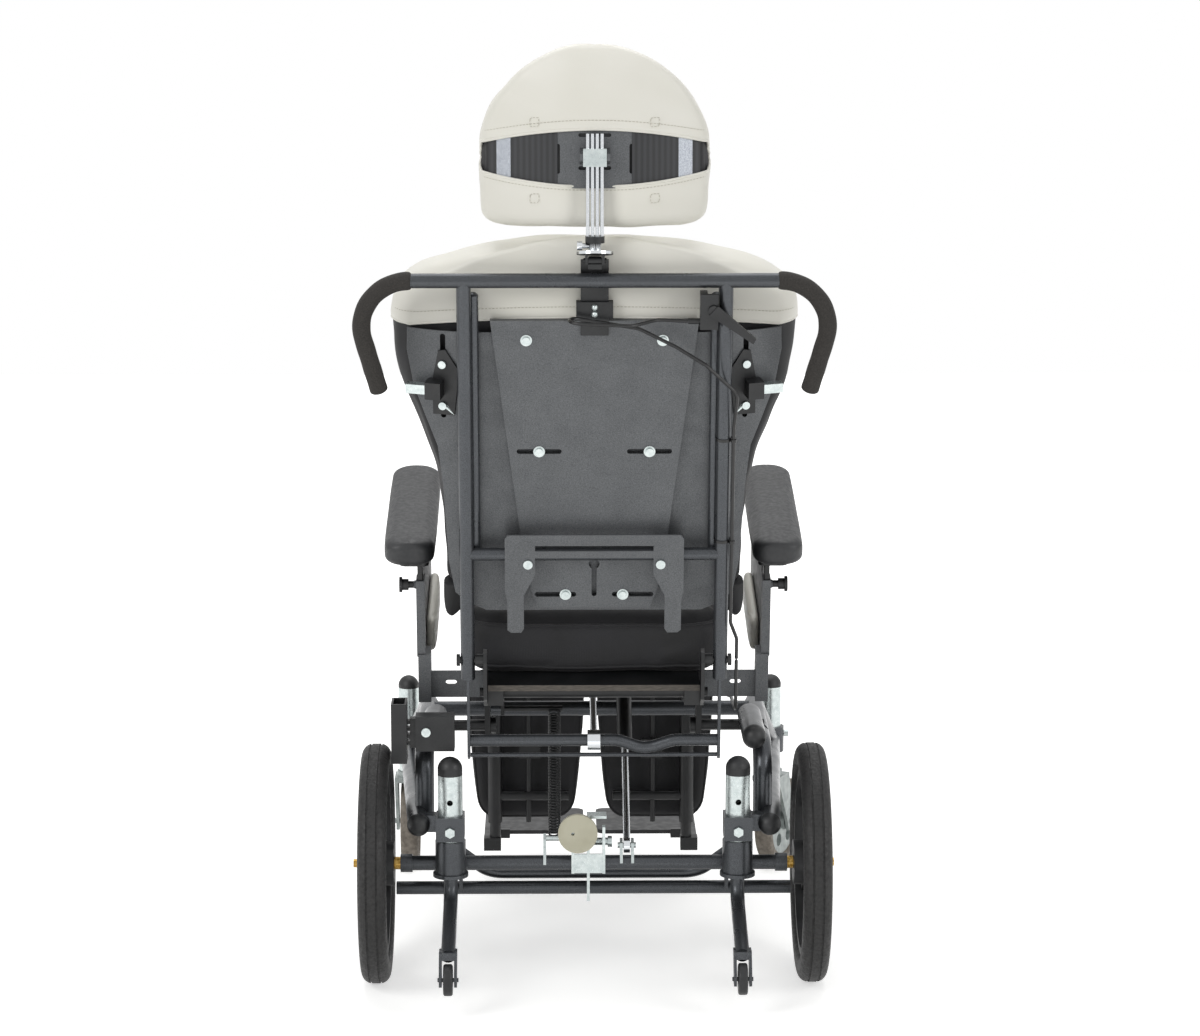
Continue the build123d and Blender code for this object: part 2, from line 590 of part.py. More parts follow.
def back_hinges():
    """Plates carrying the back, tilt pins and hinge bolts."""
    x = rail_out + seat_gap
    outline = ((-64, rail_low), (-64, rail_top), (hinge_y + 15, hinge_z + 6), (hinge_y + 6, hinge_z + 14))
    outline = (*outline, (hinge_y - 8, hinge_z + 13), (hinge_y - 14, hinge_z), (hinge_y - 12, rail_low + 20))
    plate = side_plate((*outline, (rail_back, rail_low)), x, hinge_t)
    plate += rod((x, hinge_y, hinge_z), (cane_x - cane_r - 0.6, hinge_y, hinge_z), 9)
    plate += rod((x, hinge_y, hinge_z), (cane_x + cane_r + 6, hinge_y, hinge_z), hinge_bolt_r)
    plate += rod((cane_x + cane_r + 1, hinge_y, hinge_z), (cane_x + cane_r + 6, hinge_y, hinge_z), 8.5)
    plate += rod((x, -76, rail_low + 16), (x + hinge_t + 6, -76, rail_low + 16), 6.5)
    pin = rod((rail_out - 5, 0, 0), (pin_out, 0, 0), pin_r)
    pin += rod((rail_out - 10, 0, 0), (rail_out - 2.3, 0, 0), pin_r + 4)
    return Part() + [both(plate), both(pin)]


def arm_socket():
    """Bracket from the rail with the receiver and post of the right armrest."""
    deep = (arm_y - arm_d / 2, arm_y + arm_d / 2)
    body = block((arm_x - arm_w / 2, arm_x + arm_w / 2), deep, (arm_low, arm_mid))
    inner = rail_out + lug_t + seat_gap
    plate = block((inner, arm_x - arm_w / 2 + 1), (arm_y - 8, arm_y - 4), (56, 96))
    hole = Plane(origin=(203, arm_y - 8, 79), x_dir=(1, 0, 0), z_dir=(0, -1, 0)) * SlotOverall(16, 7)
    plate -= extrude(hole, amount=-4)
    plate += block((inner, arm_x - arm_w / 2 + 1), (arm_y - 8, arm_y + 6), (56, 59))
    post_deep = (arm_y - arm_post_d / 2, arm_y + arm_post_d / 2)
    outer = arm_post_x + arm_post_w / 2
    post = block((outer - arm_post_w, outer), post_deep, (arm_mid - 4, arm_top))
    post += rod((outer - 1, arm_y, plunger_z), (outer + 3, arm_y, plunger_z), 6)
    half_w, half_d = arm_stem_w / 2 + 0.1, arm_stem_d / 2 + 0.1
    bore_deep = (arm_y - half_d, arm_y + half_d)
    bore = block((arm_post_x - half_w, arm_post_x + half_w), bore_deep, (arm_stem_low - 4, arm_top))
    hole = rod((arm_post_x, arm_y, plunger_z), (outer + 3, arm_y, plunger_z), plunger_r + run_gap)
    return body + plate + post - bore - hole


def side_panel():
    """Black guard panel and its white inner pad, right side."""
    guard = block((panel_in, panel_out), (panel_back, panel_front), (panel_low, panel_top))
    guard = fillet(guard.edges().filter_by(Axis.X).sort_by(Axis.Y)[-2:], 30)
    deep = (panel_back + 4, panel_front - 6)
    pad = block((side_pad_in, panel_in - seat_gap), deep, (panel_low + 40, panel_top - 6))
    pad = fillet(pad.edges().filter_by(Axis.X), 12)
    pad = fillet(pad.faces().sort_by(Axis.X)[0].edges(), 5)
    return Part() + [guard, pad]


def arm_pad():
    """Moulded pad with rounded ends, right side, and its flat stem."""
    y = (arm_pad_back, arm_pad_front)
    pad = block((arm_pad_in, arm_pad_out), y, (arm_pad_low, arm_pad_top))
    pad = fillet(pad.edges().filter_by(Axis.Z), 22)
    pad = fillet(pad.faces().sort_by(Axis.Z)[-1].edges(), 13)
    return fillet(pad.faces().sort_by(Axis.Z)[0].edges(), 6)


def arm_stem():
    deep = (arm_y - arm_stem_d / 2, arm_y + arm_stem_d / 2)
    across = (arm_post_x - arm_stem_w / 2, arm_post_x + arm_stem_w / 2)
    top = arm_pad_low - seat_gap
    stem = block(across, deep, (arm_stem_low, top - 1))
    plate = ((arm_pad_in + 8, arm_pad_out - 20), (arm_y - 24, arm_y + 90))
    return stem + block(*plate, (top - arm_plate_t, top))


def plunger():
    """Sprung knob whose pin presses on the flat of the right armrest's stem."""
    inner = arm_post_x + arm_stem_w / 2 + seat_gap
    outer = arm_post_x + arm_post_w / 2 + 3
    pin = rod((inner, arm_y, plunger_z), (outer + 8, arm_y, plunger_z), plunger_r)
    pin += rod((outer + 0.4, arm_y, plunger_z), (outer + 8, arm_y, plunger_z), plunger_r + 1.5)
    pin += rod((outer + 8, arm_y, plunger_z), (outer + 17, arm_y, plunger_z), knob_r)
    return pin + rod((outer + 17, arm_y, plunger_z), (outer + 21, arm_y, plunger_z), knob_flange_r)


# Struts and spring


def strut_pose(start, end):
    """Place a strut built along +Z so that it runs from start to end."""
    return Plane(origin=start, x_dir=(1, 0, 0), z_dir=Vector(*end) - Vector(*start)).location


def seen_from_seat(y, z):
    """A (y, z) point of the base in the seat's frame."""
    turn = radians(seat_tilt)
    y, z = y - tilt_y, z - tilt_z
    return y * cos(turn) + z * sin(turn), z * cos(turn) - y * sin(turn)


def tilt_strut_ends():
    """Both eyes of the tilt strut in the seat's frame."""
    return (strut_x, strut_top_y, strut_top_z), (strut_x, *seen_from_seat(foot_y, foot_z))


def spring_pins():
    """Lower and upper pin of the spring, in the base's (y, z)."""
    low, high = Vector(0, *spring_low), Vector(0, *spring_high)
    reach = (high - low).normalized() * (spring_wire_r + spring_pin_r + seat_gap)
    low, high = low - reach, high + reach
    return (low.Y, low.Z), (high.Y, high.Z)


def strut_cylinder(length, hole_r):
    body = Location((0, 0, 14)) * Cylinder(strut_r, length - 14, align=LOW)
    body += rod((0, 0, 6), (0, 0, 16), 7)
    body += rod((-strut_r + 2, 0, 0), (strut_r - 2, 0, 0), 9.5)
    body -= rod((-strut_r, 0, 0), (strut_r, 0, 0), hole_r)
    return body - Location((0, 0, 24)) * Cylinder(strut_rod_r + run_gap, length, align=LOW)


def strut_rod(start, total, eye_r, hole_r, half):
    bar = Location((0, 0, start)) * Cylinder(strut_rod_r, total - start - hole_r - 1, align=LOW)
    bar += rod((-half, 0, total), (half, 0, total), eye_r)
    return bar - rod((-half, 0, total), (half, 0, total), hole_r)


def tilt_strut():
    start, end = tilt_strut_ends()
    total = (Vector(*end) - Vector(*start)).length
    length = total - strut_rod_out
    place = seat_place * strut_pose(start, end)
    rod_start = 24 + 40
    eye = foot_pin_r + foot_eye_play
    tube = place * strut_cylinder(length, 5 + run_gap)
    return tube, place * strut_rod(rod_start, total, strut_eye_r, eye, strut_eye_t / 2)


def recline_strut():
    turn = radians(back_angle - 90)
    end = (0, hinge_y - wave_z * sin(turn), hinge_z + wave_z * cos(turn))
    start = (0, 320, 50)
    total = (Vector(*end) - Vector(*start)).length
    place = seat_place * strut_pose(start, end)
    tube = place * strut_cylinder(230, 5 + run_gap)
    return tube, place * strut_rod(100, total, wave_r + wave_eye_play + wave_eye_t, wave_r + wave_eye_play, 9)


def coil_gap(path, turns):
    """Least gap of the spring wire to itself, measured on points half a turn or more apart."""
    per_turn = 12
    points = [tuple(path @ (i / (turns * per_turn))) for i in range(turns * per_turn + 1)]
    gaps = []
    for i, point in enumerate(points):
        others = points[i + per_turn // 2:i + 2 * per_turn]
        gaps += [dist(point, other) - 2 * spring_wire_r for other in others]
    return min(gaps)


def tilt_spring():
    """Coil spring between the axle tube's pin and the seat's pin."""
    low, high = Vector(spring_x, *spring_low), Vector(spring_x, *spring_high)
    length = (high - low).length
    pitch = length / spring_turns
    place = Plane(origin=low, x_dir=(1, 0, 0), z_dir=high - low).location
    arcs = []
    for i in range(2 * spring_turns):
        side = 1 if i % 2 == 0 else -1
        z = pitch * i / 2
        start, end = (side * spring_r, 0, z), (-side * spring_r, 0, z + pitch / 2)
        arcs.append(ThreePointArc(start, (0, side * spring_r, z + pitch / 4), end))
    path = Wire(arcs)
    print("spring: least gap to itself", round(coil_gap(path, spring_turns), 2), "mm")
    section = Plane(origin=path @ 0, z_dir=path % 0) * Circle(spring_wire_r)
    return place * sweep(section, path=path)


# Legrests, in the legrest's frame, right side


def leg_hanger():
    tube = rod((leg_x, 0, 6), (leg_x, 8, -leg_len), leg_r)
    tube -= rod((rail_in + 7.5, 0, 0), (rail_in + 14.5, 0, 0), 15)
    tube -= block((rail_in, rail_in + 14.6), (-15, 15), (-14, 20))
    tube += rod((rail_in + 2, 0, 0), (leg_x, 0, 0), 5)
    inner = rod((96, 2, -100), (96, 9, -leg_len), leg_cross_r / 2)
    bars = rod((34, 2, -150), (leg_x, 2, -150), leg_cross_r)
    bars += rod((34, 8, -330), (leg_x, 8, -330), leg_cross_r)
    bars += rod((96, 2, -100), (leg_x, 2, -100), leg_cross_r)
    bars += block((calf_stud_x - 16, calf_stud_x + 16), (-8, 4), (calf_stud_z - 15, calf_stud_z + 15))
    stud_end = calf_back + 10.2
    bars += rod((calf_stud_x, 4, calf_stud_z), (calf_stud_x, stud_end, calf_stud_z), calf_stud_r)
    return tube + inner + bars + foot_arm()


def foot_arm():
    """Lower end of the hanger: heel block, side bar, two lugs with the plate's pin, and a stop."""
    low = -foot_drop
    hinge_x = foot_plate_in + foot_plate_w
    back, front = foot_plate_back, foot_plate_back + foot_plate_len
    bar_x = hinge_x + foot_knuckle_r + 1
    z = (low - 4, low + 10)
    arm = rod((leg_x, 8, -leg_len), (leg_x, 9, low + 12), leg_r - 2.5)
    arm += block((leg_x - 9, bar_x + foot_bar_t), (-2, 19), (low - 4, low + 16))
    arm += block((bar_x, bar_x + foot_bar_t), (-2, front + foot_lug), z)
    arm += block((hinge_x - 22, bar_x + 5), (back - foot_lug, back - seat_gap), z)
    arm += block((hinge_x - 6, bar_x + 5), (front + seat_gap, front + foot_lug), z)
    arm += block((hinge_x - 22, hinge_x - 8), (back - foot_lug, back + 18), (low - 4, low - seat_gap))
    pin_z = low + foot_plate_t / 2
    return arm + rod((hinge_x, back - foot_lug, pin_z), (hinge_x, front + foot_lug, pin_z), foot_hinge_r)


def calf_pad():
    """Padded calf support with drawn-in edges, right side."""
    rows = ((calf_top, 60, 20), (calf_top - 14, 84, 44), (calf_top - 60, calf_half_top, calf_t))
    rows = (*rows, (-300, calf_half_low + 6, calf_t), (calf_low + 14, calf_half_low, 42), (calf_low, 54, 20))
    sections = []
    for z, half, thick in rows:
        middle_x = calf_inner + max(half, calf_half_low) if half > 60 else calf_inner + 76
        plane = Plane(origin=(middle_x, calf_back + 12, z), x_dir=(1, 0, 0), z_dir=(0, 0, 1))
        edge = 6
        back = ThreePointArc((-half + edge, 0), (0, -1.5), (half - edge, 0))
        right = ThreePointArc((half - edge, 0), (half, thick / 2), (half - edge, thick - 8))
        front = ThreePointArc((half - edge, thick - 8), (0, thick), (-half + edge, thick - 8))
        side = ThreePointArc((-half + edge, thick - 8), (-half, thick / 2), (-half + edge, 0))
        sections.append(plane * make_face([back, right, front, side]))
    return loft(sections)


def footplate():
    """Flip-up plate, hinged on a fore-and-aft pin at its outer edge."""
    low = -foot_drop
    hinge_x = foot_plate_in + foot_plate_w
    back, front = foot_plate_back, foot_plate_back + foot_plate_len
    sheet = block((foot_plate_in, hinge_x), (back, front), (low, low + foot_plate_t))
    sheet = fillet(sheet.edges().filter_by(Axis.Z).sort_by(Axis.X)[:2], 14)
    axis = ((hinge_x, back, low + foot_plate_t / 2), (hinge_x, front, low + foot_plate_t / 2))
    return sheet + rod(*axis, foot_knuckle_r) - rod(*axis, foot_hinge_r + run_gap)


# Back, in the back's frame


def cane():
    tube = rod((cane_x, 0, cane_low), (cane_x, 0, cane_top), cane_r)
    x = cane_x - lever_t / 2
    half = lever_w / 2
    outline = ((-half + 3, cane_low + 8), (half - 3, cane_low + 8), (half, -60), (half, lever_end + 6))
    outline = (*outline, (half - 6, lever_end), (-half + 6, lever_end), (-half, lever_end + 6), (-half, -60))
    tube += side_plate(outline, x, lever_t)
    tube -= push_path_solid(push_r + 0.1)
    return tube - rod((cane_x - 20, 0, 0), (cane_x + 20, 0, 0), hinge_bolt_r + run_gap)


def push_points():
    tip = (grip_tip_x, 0, grip_tip_z)
    corner = (push_half, 0, cane_top)
    return ((-tip[0], 0, tip[2]), (-corner[0], 0, corner[2]), corner, tip)


def push_path_solid(radius):
    return rod((-grip_start_x, 0, cane_top), (grip_start_x, 0, cane_top), radius)


def push_bar():
    return bent(push_points(), push_r, push_bend)


def push_grip():
    """Foam sleeve over the right end of the push bar, closed at the tip."""
    points = push_points()
    line = FilletPolyline((grip_start_x, 0, cane_top), points[2], points[3], radius=push_bend)
    section = Circle(push_r + grip_t) - Circle(push_r + 0.2)
    sleeve = sweep(Plane(origin=line @ 0, z_dir=line % 0) * section, path=line)
    end, way = line @ 1, line % 1
    return sleeve + Plane(origin=end + way * 0.3, z_dir=way) * Cylinder(push_r + grip_t, 4, align=LOW)


def back_tubes():
    """Inner rails, upper cross tube, lower bent tube and link rod."""
    end = cane_x
    canes = both(rod((cane_x, 0, -60), (cane_x, 0, 500), cane_r + 0.1))
    cross = rod((-end, 0, back_cross_z), (end, 0, back_cross_z), back_cross_r) - canes
    stub = cane_x - lever_t / 2 - seat_gap
    run = ((-stub, wave_z), (34, wave_z), (72, wave_z - wave_dip), (114, wave_z), (stub, wave_z))
    wave = bent([(x, 0, z) for x, z in run], wave_r, 40)
    link = rod((-stub, 0, link_z), (stub, 0, link_z), link_r)
    rail = rod((rail_x, rail_y, rail_span[0]), (rail_x, rail_y, rail_span[1]), rail_r)
    rail += Location((rail_x, rail_y, rail_span[1])) * dome(rail_r, 0.5, 4)
    rail -= rod((-end, 0, back_cross_z), (end, 0, back_cross_z), back_cross_r + 0.2)
    return Part() + [cross, wave, link, both(rail)]


def shell_band():
    """Cross-section of the back shell: flat middle, wings curving forward."""
    def wing(radius, angle):
        return (shell_flat + radius * sin(angle), shell_y + wing_r - radius * cos(angle))
    edge = radians(27)
    inner = wing_r - shell_t
    outer = [wing(wing_r, 0), wing(wing_r, edge / 2), wing(wing_r, edge)]
    front = [wing(inner, edge), wing(inner, edge / 2), wing(inner, 0)]
    other = lambda point: (-point[0], point[1])
    lines = [Line(other(outer[0]), outer[0]), ThreePointArc(*outer)]
    lines += [Line(outer[2], front[0]), ThreePointArc(*front)]
    lines += [Line(front[2], other(front[2])), ThreePointArc(*[other(p) for p in reversed(front)])]
    lines += [Line(other(front[0]), other(outer[2])), ThreePointArc(*[other(p) for p in reversed(outer)])]
    return make_face(lines)


def back_shell():
    low, high = shell_half[0][0], shell_half[-1][0]
    band = extrude(Location((0, 0, low)) * shell_band(), amount=high - low)
    shell = band & rear_plate(half_outline(shell_half), 0, 110)
    length = lateral_slot[1] - lateral_slot[0]
    middle = (lateral_slot[0] + lateral_slot[1]) / 2
    holes = slot_at(lateral_x, middle, length, slot_w, True)
    holes += slot_at(-lateral_x, middle, length, slot_w, True)
    for x, z in panel_bolts():
        holes += Location((x, z)) * Circle(m6_r + 0.2)
    return shell - rear_plate(holes, 0, 110)


def panel_bolts():
    spots = [(side * panel_bolt_x, panel_bolt_z - 14) for side in (-1, 1)]
    spots += [(side * panel_slot_x, panel_slot_z) for side in (-1, 1)]
    return spots + [(side * 40, low_slot_z) for side in (-1, 1)]


def back_panel():
    """Raised tapering panel on the shell, open at the front like a shallow pan."""
    rows = panel_half
    outer = rear_plate(half_outline(rows), panel_y, panel_wall)
    inner_rows = [(z, half - panel_t) for z, half in rows]
    inner_rows[0] = (rows[0][0] + panel_t, rows[0][1] - panel_t)
    inner_rows[-1] = (rows[-1][0] - panel_t, rows[-1][1] - panel_t)
    pan = outer - rear_plate(half_outline(inner_rows), panel_y + panel_t, panel_wall)
    holes = Location((0, 118)) * SlotOverall(54, 7, rotation=90) + Location((0, 140)) * Circle(7.5)
    for side in (-1, 1):
        holes += slot_at(side * panel_slot_x, panel_slot_z, slot_len, slot_w)
        holes += slot_at(side * low_slot_x, low_slot_z, low_slot_len, slot_w)
        holes += Location((side * panel_bolt_x, panel_bolt_z - 14)) * Circle(m6_r + 0.2)
    return pan - rear_plate(holes, 0, 40)


def back_fasteners():
    screws = []
    for x, z in panel_bolts():
        screw = bolt((x, panel_y - 1.2, z), (0, 1, 0), shell_y - panel_y + shell_t + 0.5)
        screws.append(screw + rod((x, panel_y - 1.2, z), (x, panel_y - 0.2, z), 8))
    for x in (-92, 92):
        screws.append(bolt((x, -back_cross_r - hook_t - 0.6, back_cross_z - 10), (0, 1, 0), 3.2, head_r=6.5))
    return Part() + screws


def hook_bracket():
    """Folded plate with a window and two hook legs, below the panel."""
    half, low, top = hook_half, hook_low, hook_top
    right = ((0, top), (half - 4, top), (half, top - 6), (half, low + 62), (half - 3, low + 48))
    right = (*right, (half - 3, low + 4), (half - 8, low), (half - 22, low), (half - 26, low + 6))
    right = (*right, (half - 26, low + 56), (half - 42, low + 88), (half - 42, top - 34), (0, top - 34))
    y = -back_cross_r - hook_t - seat_gap
    sheet = rear_plate(polygon(right), y, hook_t)
    sheet += block((half - hook_t, half), (y, 12), (low + 64, top - 10))
    sheet -= rod((half - hook_t - 1, 0, back_cross_z), (half + 1, 0, back_cross_z), back_cross_r + 0.3)
    sheet -= rod((92, y, back_cross_z - 10), (92, y + hook_t, back_cross_z - 10), m6_r + 0.2)
    sheet -= rear_plate(Location((0, top - 20)) * Rectangle(164, 8), y, hook_t)
    return sheet + mirror(sheet, about=Plane.YZ)


def lateral_bracket():
    """Plate, clamp block and square bar for a trunk support, right side.

    It is drawn flat with its slot line at x = 0 and laid against the wing.
    """
    slope = asin((lateral_x - shell_flat) / wing_r)
    rear = shell_y + wing_r * (1 - cos(slope))
    outline = ((-16, 358), (14, 358), (14, 410), (6, 450), (-4, 452), (-22, 424), (-22, 412))
    plate = rear_plate(polygon(outline), -3, 3)
    plate += block((-2, 20), (-25, -2), (lateral_z - 12, lateral_z + 12))
    for spot in lateral_bolts:
        plate += bolt((0, -3, spot), (0, 1, 0), 4.6)
    half = lateral_bar / 2
    reach = (lateral_reach - lateral_x) / cos(slope)
    plate += block((19, reach), (-14 - half, -14 + half), (lateral_z - half, lateral_z + half))
    return Location((lateral_x, rear - 0.4, 0), (0, 0, degrees(slope))) * plate


def pad_section(z, half, back, thick, edge):
    """Cross-section of the back cushion at a height, hollow toward the person."""
    plane = Plane(origin=(0, 0, z), x_dir=(1, 0, 0), z_dir=(0, 0, 1))
    inner = half - edge
    curve = inner**2 / (2 * pad_curve)
    behind = back + curve
    middle, ahead = behind + thick / 2, behind + thick - 4
    rear = ThreePointArc((-inner, behind), (0, back), (inner, behind))
    right = ThreePointArc((inner, behind), (half, middle), (inner, ahead))
    front = ThreePointArc((inner, ahead), (0, back + thick), (-inner, ahead))
    side = ThreePointArc((-inner, ahead), (-half, middle), (-inner, behind))
    return plane * make_face([rear, right, front, side])


def back_cushion():
    rows = (
        (86, 192, pad_y + 14, 30, 10),
        (90, 201, pad_y + 6, 48, 11),
        (100, 208, pad_y, 62, 12),
        (180, 213, pad_y, 70, 14),
        (225, 217, pad_y, 72, 14),
        (270, 226, pad_y, 72, 15),
        (315, 241, pad_y, 72, 16),
        (345, 251, pad_y, 72, 16),
        (381, 266, pad_y, 72, 17),
        (410, 274, pad_y, 72, 17),
        (455, 278, pad_y, 72, 17),
        (481, 277, pad_y, 74, 17),
        (488, 277, pad_y - 3, 82, 18),
        (515, 275, pad_y - 3, 80, 18),
        (530, 266, pad_y - 3, 77, 18),
        (545, 250, pad_y - 3, 74, 18),
        (568, 212, pad_y - 3, 66, 18),
        (588, 162, pad_y - 2, 58, 18),
        (603, 100, pad_y + 1, 46, 16),
        (612, 50, pad_y + 8, 26, 12),
    )
    return loft([pad_section(*row) for row in rows], ruled=True)


# Headrest


def head_post():
    """Flat bar that slides in the clamp, with a neck to the knuckle of the lean hinge."""
    y, z = head_bar_y, head_bar_top
    half = head_bar_w / 2
    bar = block((-half, half), (y, y + head_bar_t), (head_bar_low, z))
    bar += block((-lean_half, lean_half), (head_disc_y - lean_knuckle_r, y + head_bar_t), (z - 7, z))
    axis = ((-lean_half, head_disc_y, lean_z), (lean_half, head_disc_y, lean_z))
    return bar + rod(*axis, lean_knuckle_r) - rod(*axis, lean_pin_r + run_gap)


def head_clamp():
    """Guide for the flat bar on the top of the panel, with two dome nuts."""
    y = head_bar_y
    half = head_bar_w / 2
    low, high = 503, 527
    guide = block((-half - 6, half + 6), (y - 4, y - 0.2), (low, high))
    for side in (-1, 1):
        cheek = (side * (half + 0.2), side * (half + 6))
        guide += block(cheek, (y - 4, y + head_bar_t + 3), (low, high))
    guide += block((-half - 6, half + 6), (y + head_bar_t + 0.2, y + head_bar_t + 3), (low, high))
    for z in (low + 7, high - 7):
        guide += Location((0, y - 4, z), (90, 0, 0)) * dome(4.5, 1, 4)
    return guide


def head_joint():
    """Disc with the cheeks and pin of the lean hinge, socket, clamp screw, four rods and top clamp."""
    y, z = head_disc_y, head_disc_z
    disc = Location((0, y, z), (-22, 0, 0)) * Cylinder(head_disc_r, head_disc_t, align=LOW)
    cheek = ((y - 5, lean_z - 4.5), (y + 5, lean_z - 4.5), (y + 10, z - 2.5), (y - 5, z + 3.5))
    inner = lean_half + 0.5
    disc += side_plate(cheek, inner, 3.5) + side_plate(cheek, -inner - 3.5, 3.5)
    disc += rod((-inner - 6, y, lean_z), (inner + 6, y, lean_z), lean_pin_r)
    socket = Location((0, y, z + 2), (head_lean, 0, 0))
    stack = socket * (Cylinder(9, 20, align=LOW) + Location((0, 0, 14)) * Cylinder(13, 9, align=LOW))
    stack += socket * rod((-24, 0, 10), (0, 0, 10), 3.5) + socket * rod((-24, 0, 10), (-17, 0, 10), 6)
    rods = []
    top = head_z - z + 10
    for i in range(head_rod_count):
        x = (i - (head_rod_count - 1) / 2) * head_rod_pitch
        rods.append(socket * rod((x, 0, 20), (x, 0, top), head_rod_r))
    half = head_grip_half()
    grip = block((-half, half), (-5, 5), (head_pin_rise - 12, head_pin_rise + 12))
    bore = rod((-half, 0, head_pin_rise), (half, 0, head_pin_rise), head_pin_r + run_gap)
    return disc + stack + rods + socket * grip - socket * bore


def head_grip_half():
    return head_rod_pitch * head_rod_count / 2 + 3


def head_pin():
    """Nod pin of the head pad, as (y, z) in the head's frame."""
    turn = radians(head_lean)
    y, z = head_disc_y - head_y, head_disc_z + 2 - head_z
    return y * cos(turn) + z * sin(turn), z * cos(turn) - y * sin(turn) + head_pin_rise


def head_plate():
    """Curved metal plate behind the head pad, with slots and the ears of its nod pin."""
    low, top, half = head_plate_low, head_plate_top, head_plate_half
    tall = 4 * max(top, -low)
    ring = Cylinder(head_curve, tall) - Cylinder(head_curve - head_plate_t, tall)
    sheet = Location((0, head_curve, 0)) * ring & block((-half, half), (-1, head_curve / 2), (low, top))
    y, z = head_pin()
    slots = Location((0, top - 13)) * SlotOverall(44, 5) + Location((0, z - 15)) * SlotOverall(44, 5)
    for side in (-1, 1):
        slots += slot_at(side * 49, z - 3, 40, 5, True)
    sheet -= rear_plate(slots, -2, 20)
    ear = ((2, z - 10), (2, z + 13), (y + 4, z + 7), (y - 5, z + 5), (y - 6, z - 4), (y + 4, z - 7))
    inner = head_grip_half() + 0.5
    sheet += side_plate(ear, inner, 4) + side_plate(ear, -inner - 4, 4)
    return sheet + rod((-inner - 4, y, z), (inner + 4, y, z), head_pin_r)


def head_section(z, half, back, thick, edge):
    """Cross-section of the head pad at a height, hollow toward the head."""
    plane = Plane(origin=(0, back, z), x_dir=(1, 0, 0), z_dir=(0, 0, 1))
    inner = half - edge
    bow = head_curve - head_plate_t - seat_gap
    curve = bow - sqrt(bow**2 - inner**2)
    rear = ThreePointArc((-inner, curve), (0, 0), (inner, curve))
    right = ThreePointArc((inner, curve), (half, curve + thick / 2 + 3), (inner, curve + thick))
    front = ThreePointArc((inner, curve + thick), (0, thick), (-inner, curve + thick))
    side = ThreePointArc((-inner, curve + thick), (-half, curve + thick / 2 + 3), (-inner, curve))
    return plane * make_face([rear, right, front, side])


def head_pad():
    """Head pad with a shallow pocket for the plate, as rows of height, half width, rear, depth, edge."""
    pocket = head_plate_t + seat_gap
    rows = (
        (-122, 122, 16, 16, 7),
        (-118, 136, 8, 34, 7),
        (-108, 147, 3, 46, 7),
        (-92, 150, 1, 50, 7),
        (head_plate_low - 7, 151, 0, 54, 7),
        (head_plate_low - 2, 151, pocket, 54 - pocket, 7),
        (-4, 150, pocket, 54 - pocket, 7),
        (head_plate_top + 1, 146, pocket, 54 - pocket, 7),
        (head_plate_top + 5, 144, 0, 54, 7),
        (46, 131, 0, 54, 7),
        (66, 116, 1, 50, 7),
        (86, 96, 3, 44, 7),
        (102, 74, 8, 34, 7),
        (114, 46, 14, 22, 6),
        (120, 20, 20, 10, 4),
    )
    return loft([head_section(*row) for row in rows], ruled=True)


# Release lever and cable


def lever_housing():
    x, z = lever_x, lever_z
    body = block((x - 24, x + 0.4), (-16, -11), (z - 28, z + 22))
    body += block((x - 24, x - 14), (-16, 4), (z - 28, z + 22))
    body += rod((x - 40, -8, z - 18), (x - 20, -8, z - 18), 4)
    body -= rod((x - 6, -20, z), (x - 6, 0, z), 4 + run_gap)
    return body


def release_lever():
    x, z = lever_x - 6, lever_z
    pin = rod((x, -19, z), (x, -10.4, z), 4) + rod((x, -19, z), (x, -16.4, z), 7)
    arm = ((x - 6, z - 6), (x + 6, z + 7), (x + 58, z - 40), (x + 54, z - 47))
    return pin + rear_plate(polygon(arm), -20.5, 4)


def cable_line():
    """Where the cable runs down beside the right cane."""
    return cane_x + cane_r + cable_r + 0.9, -8.0


def release_cable():
    """Cable from the lever, looped under the push bar and down the right cane."""
    x, y = cable_line()
    z = lever_z - 18
    run = ((lever_x - 40.2, -8, z), (84, -8, z + 2), (50, -40, z + 4), (-34, -40, z + 8))
    run = (*run, (-34, -4, z + 4), (60, -4, z - 12), (110, -14, 470), (x - 40, -20, 446), (x + 4, -20, 404))
    run = (*run, (x, y, 350), (x, y, 60), (cable_turn_x, 0, 32), (cable_turn_x, 0, cable_meet))
    cable = bent(run, cable_r, [20, 20, 16, 16, 40, 40, 20, 20, 20, 14, 14])
    return cable + Location((cable_turn_x, 0, cable_meet)) * Sphere(cable_r)


def cable_ties():
    x, y = cable_line()
    ties = []
    for z in (180, 330):
        cane_hole = rod((cane_x, 0, z), (cane_x, 0, z + 4), cane_r + 0.15)
        cable_hole = rod((x, y, z), (x, y, z + 4), cable_r + 0.15)
        rail = rod((rail_x, rail_y, z), (rail_x, rail_y, z + 4), rail_r + 0.2)
        tie = rod((cane_x, 0, z), (cane_x, 0, z + 4), cane_r + 1.4)
        tie += rod((x, y, z), (x, y, z + 4), cable_r + 1.4)
        ties.append(tie - cane_hole - cable_hole - rail)
    return Part() + ties


def seat_cable():
    """Lower cable under the seat, from the back hinge to the tilt strut head."""
    x = cable_turn_x
    end = strut_x - strut_r - cable_r - seat_gap
    run = ((x, hinge_y, hinge_z - cable_meet), (x, hinge_y, 66), (x, 46, 28), (120, 46, 34))
    run = (*run, (30, 60, 40), (end - 5, 200, 48), (end, 262, 54))
    cable = bent(run, cable_r, [24, 24, 24, 24, 40])
    return cable + Location(run[0]) * Sphere(cable_r)


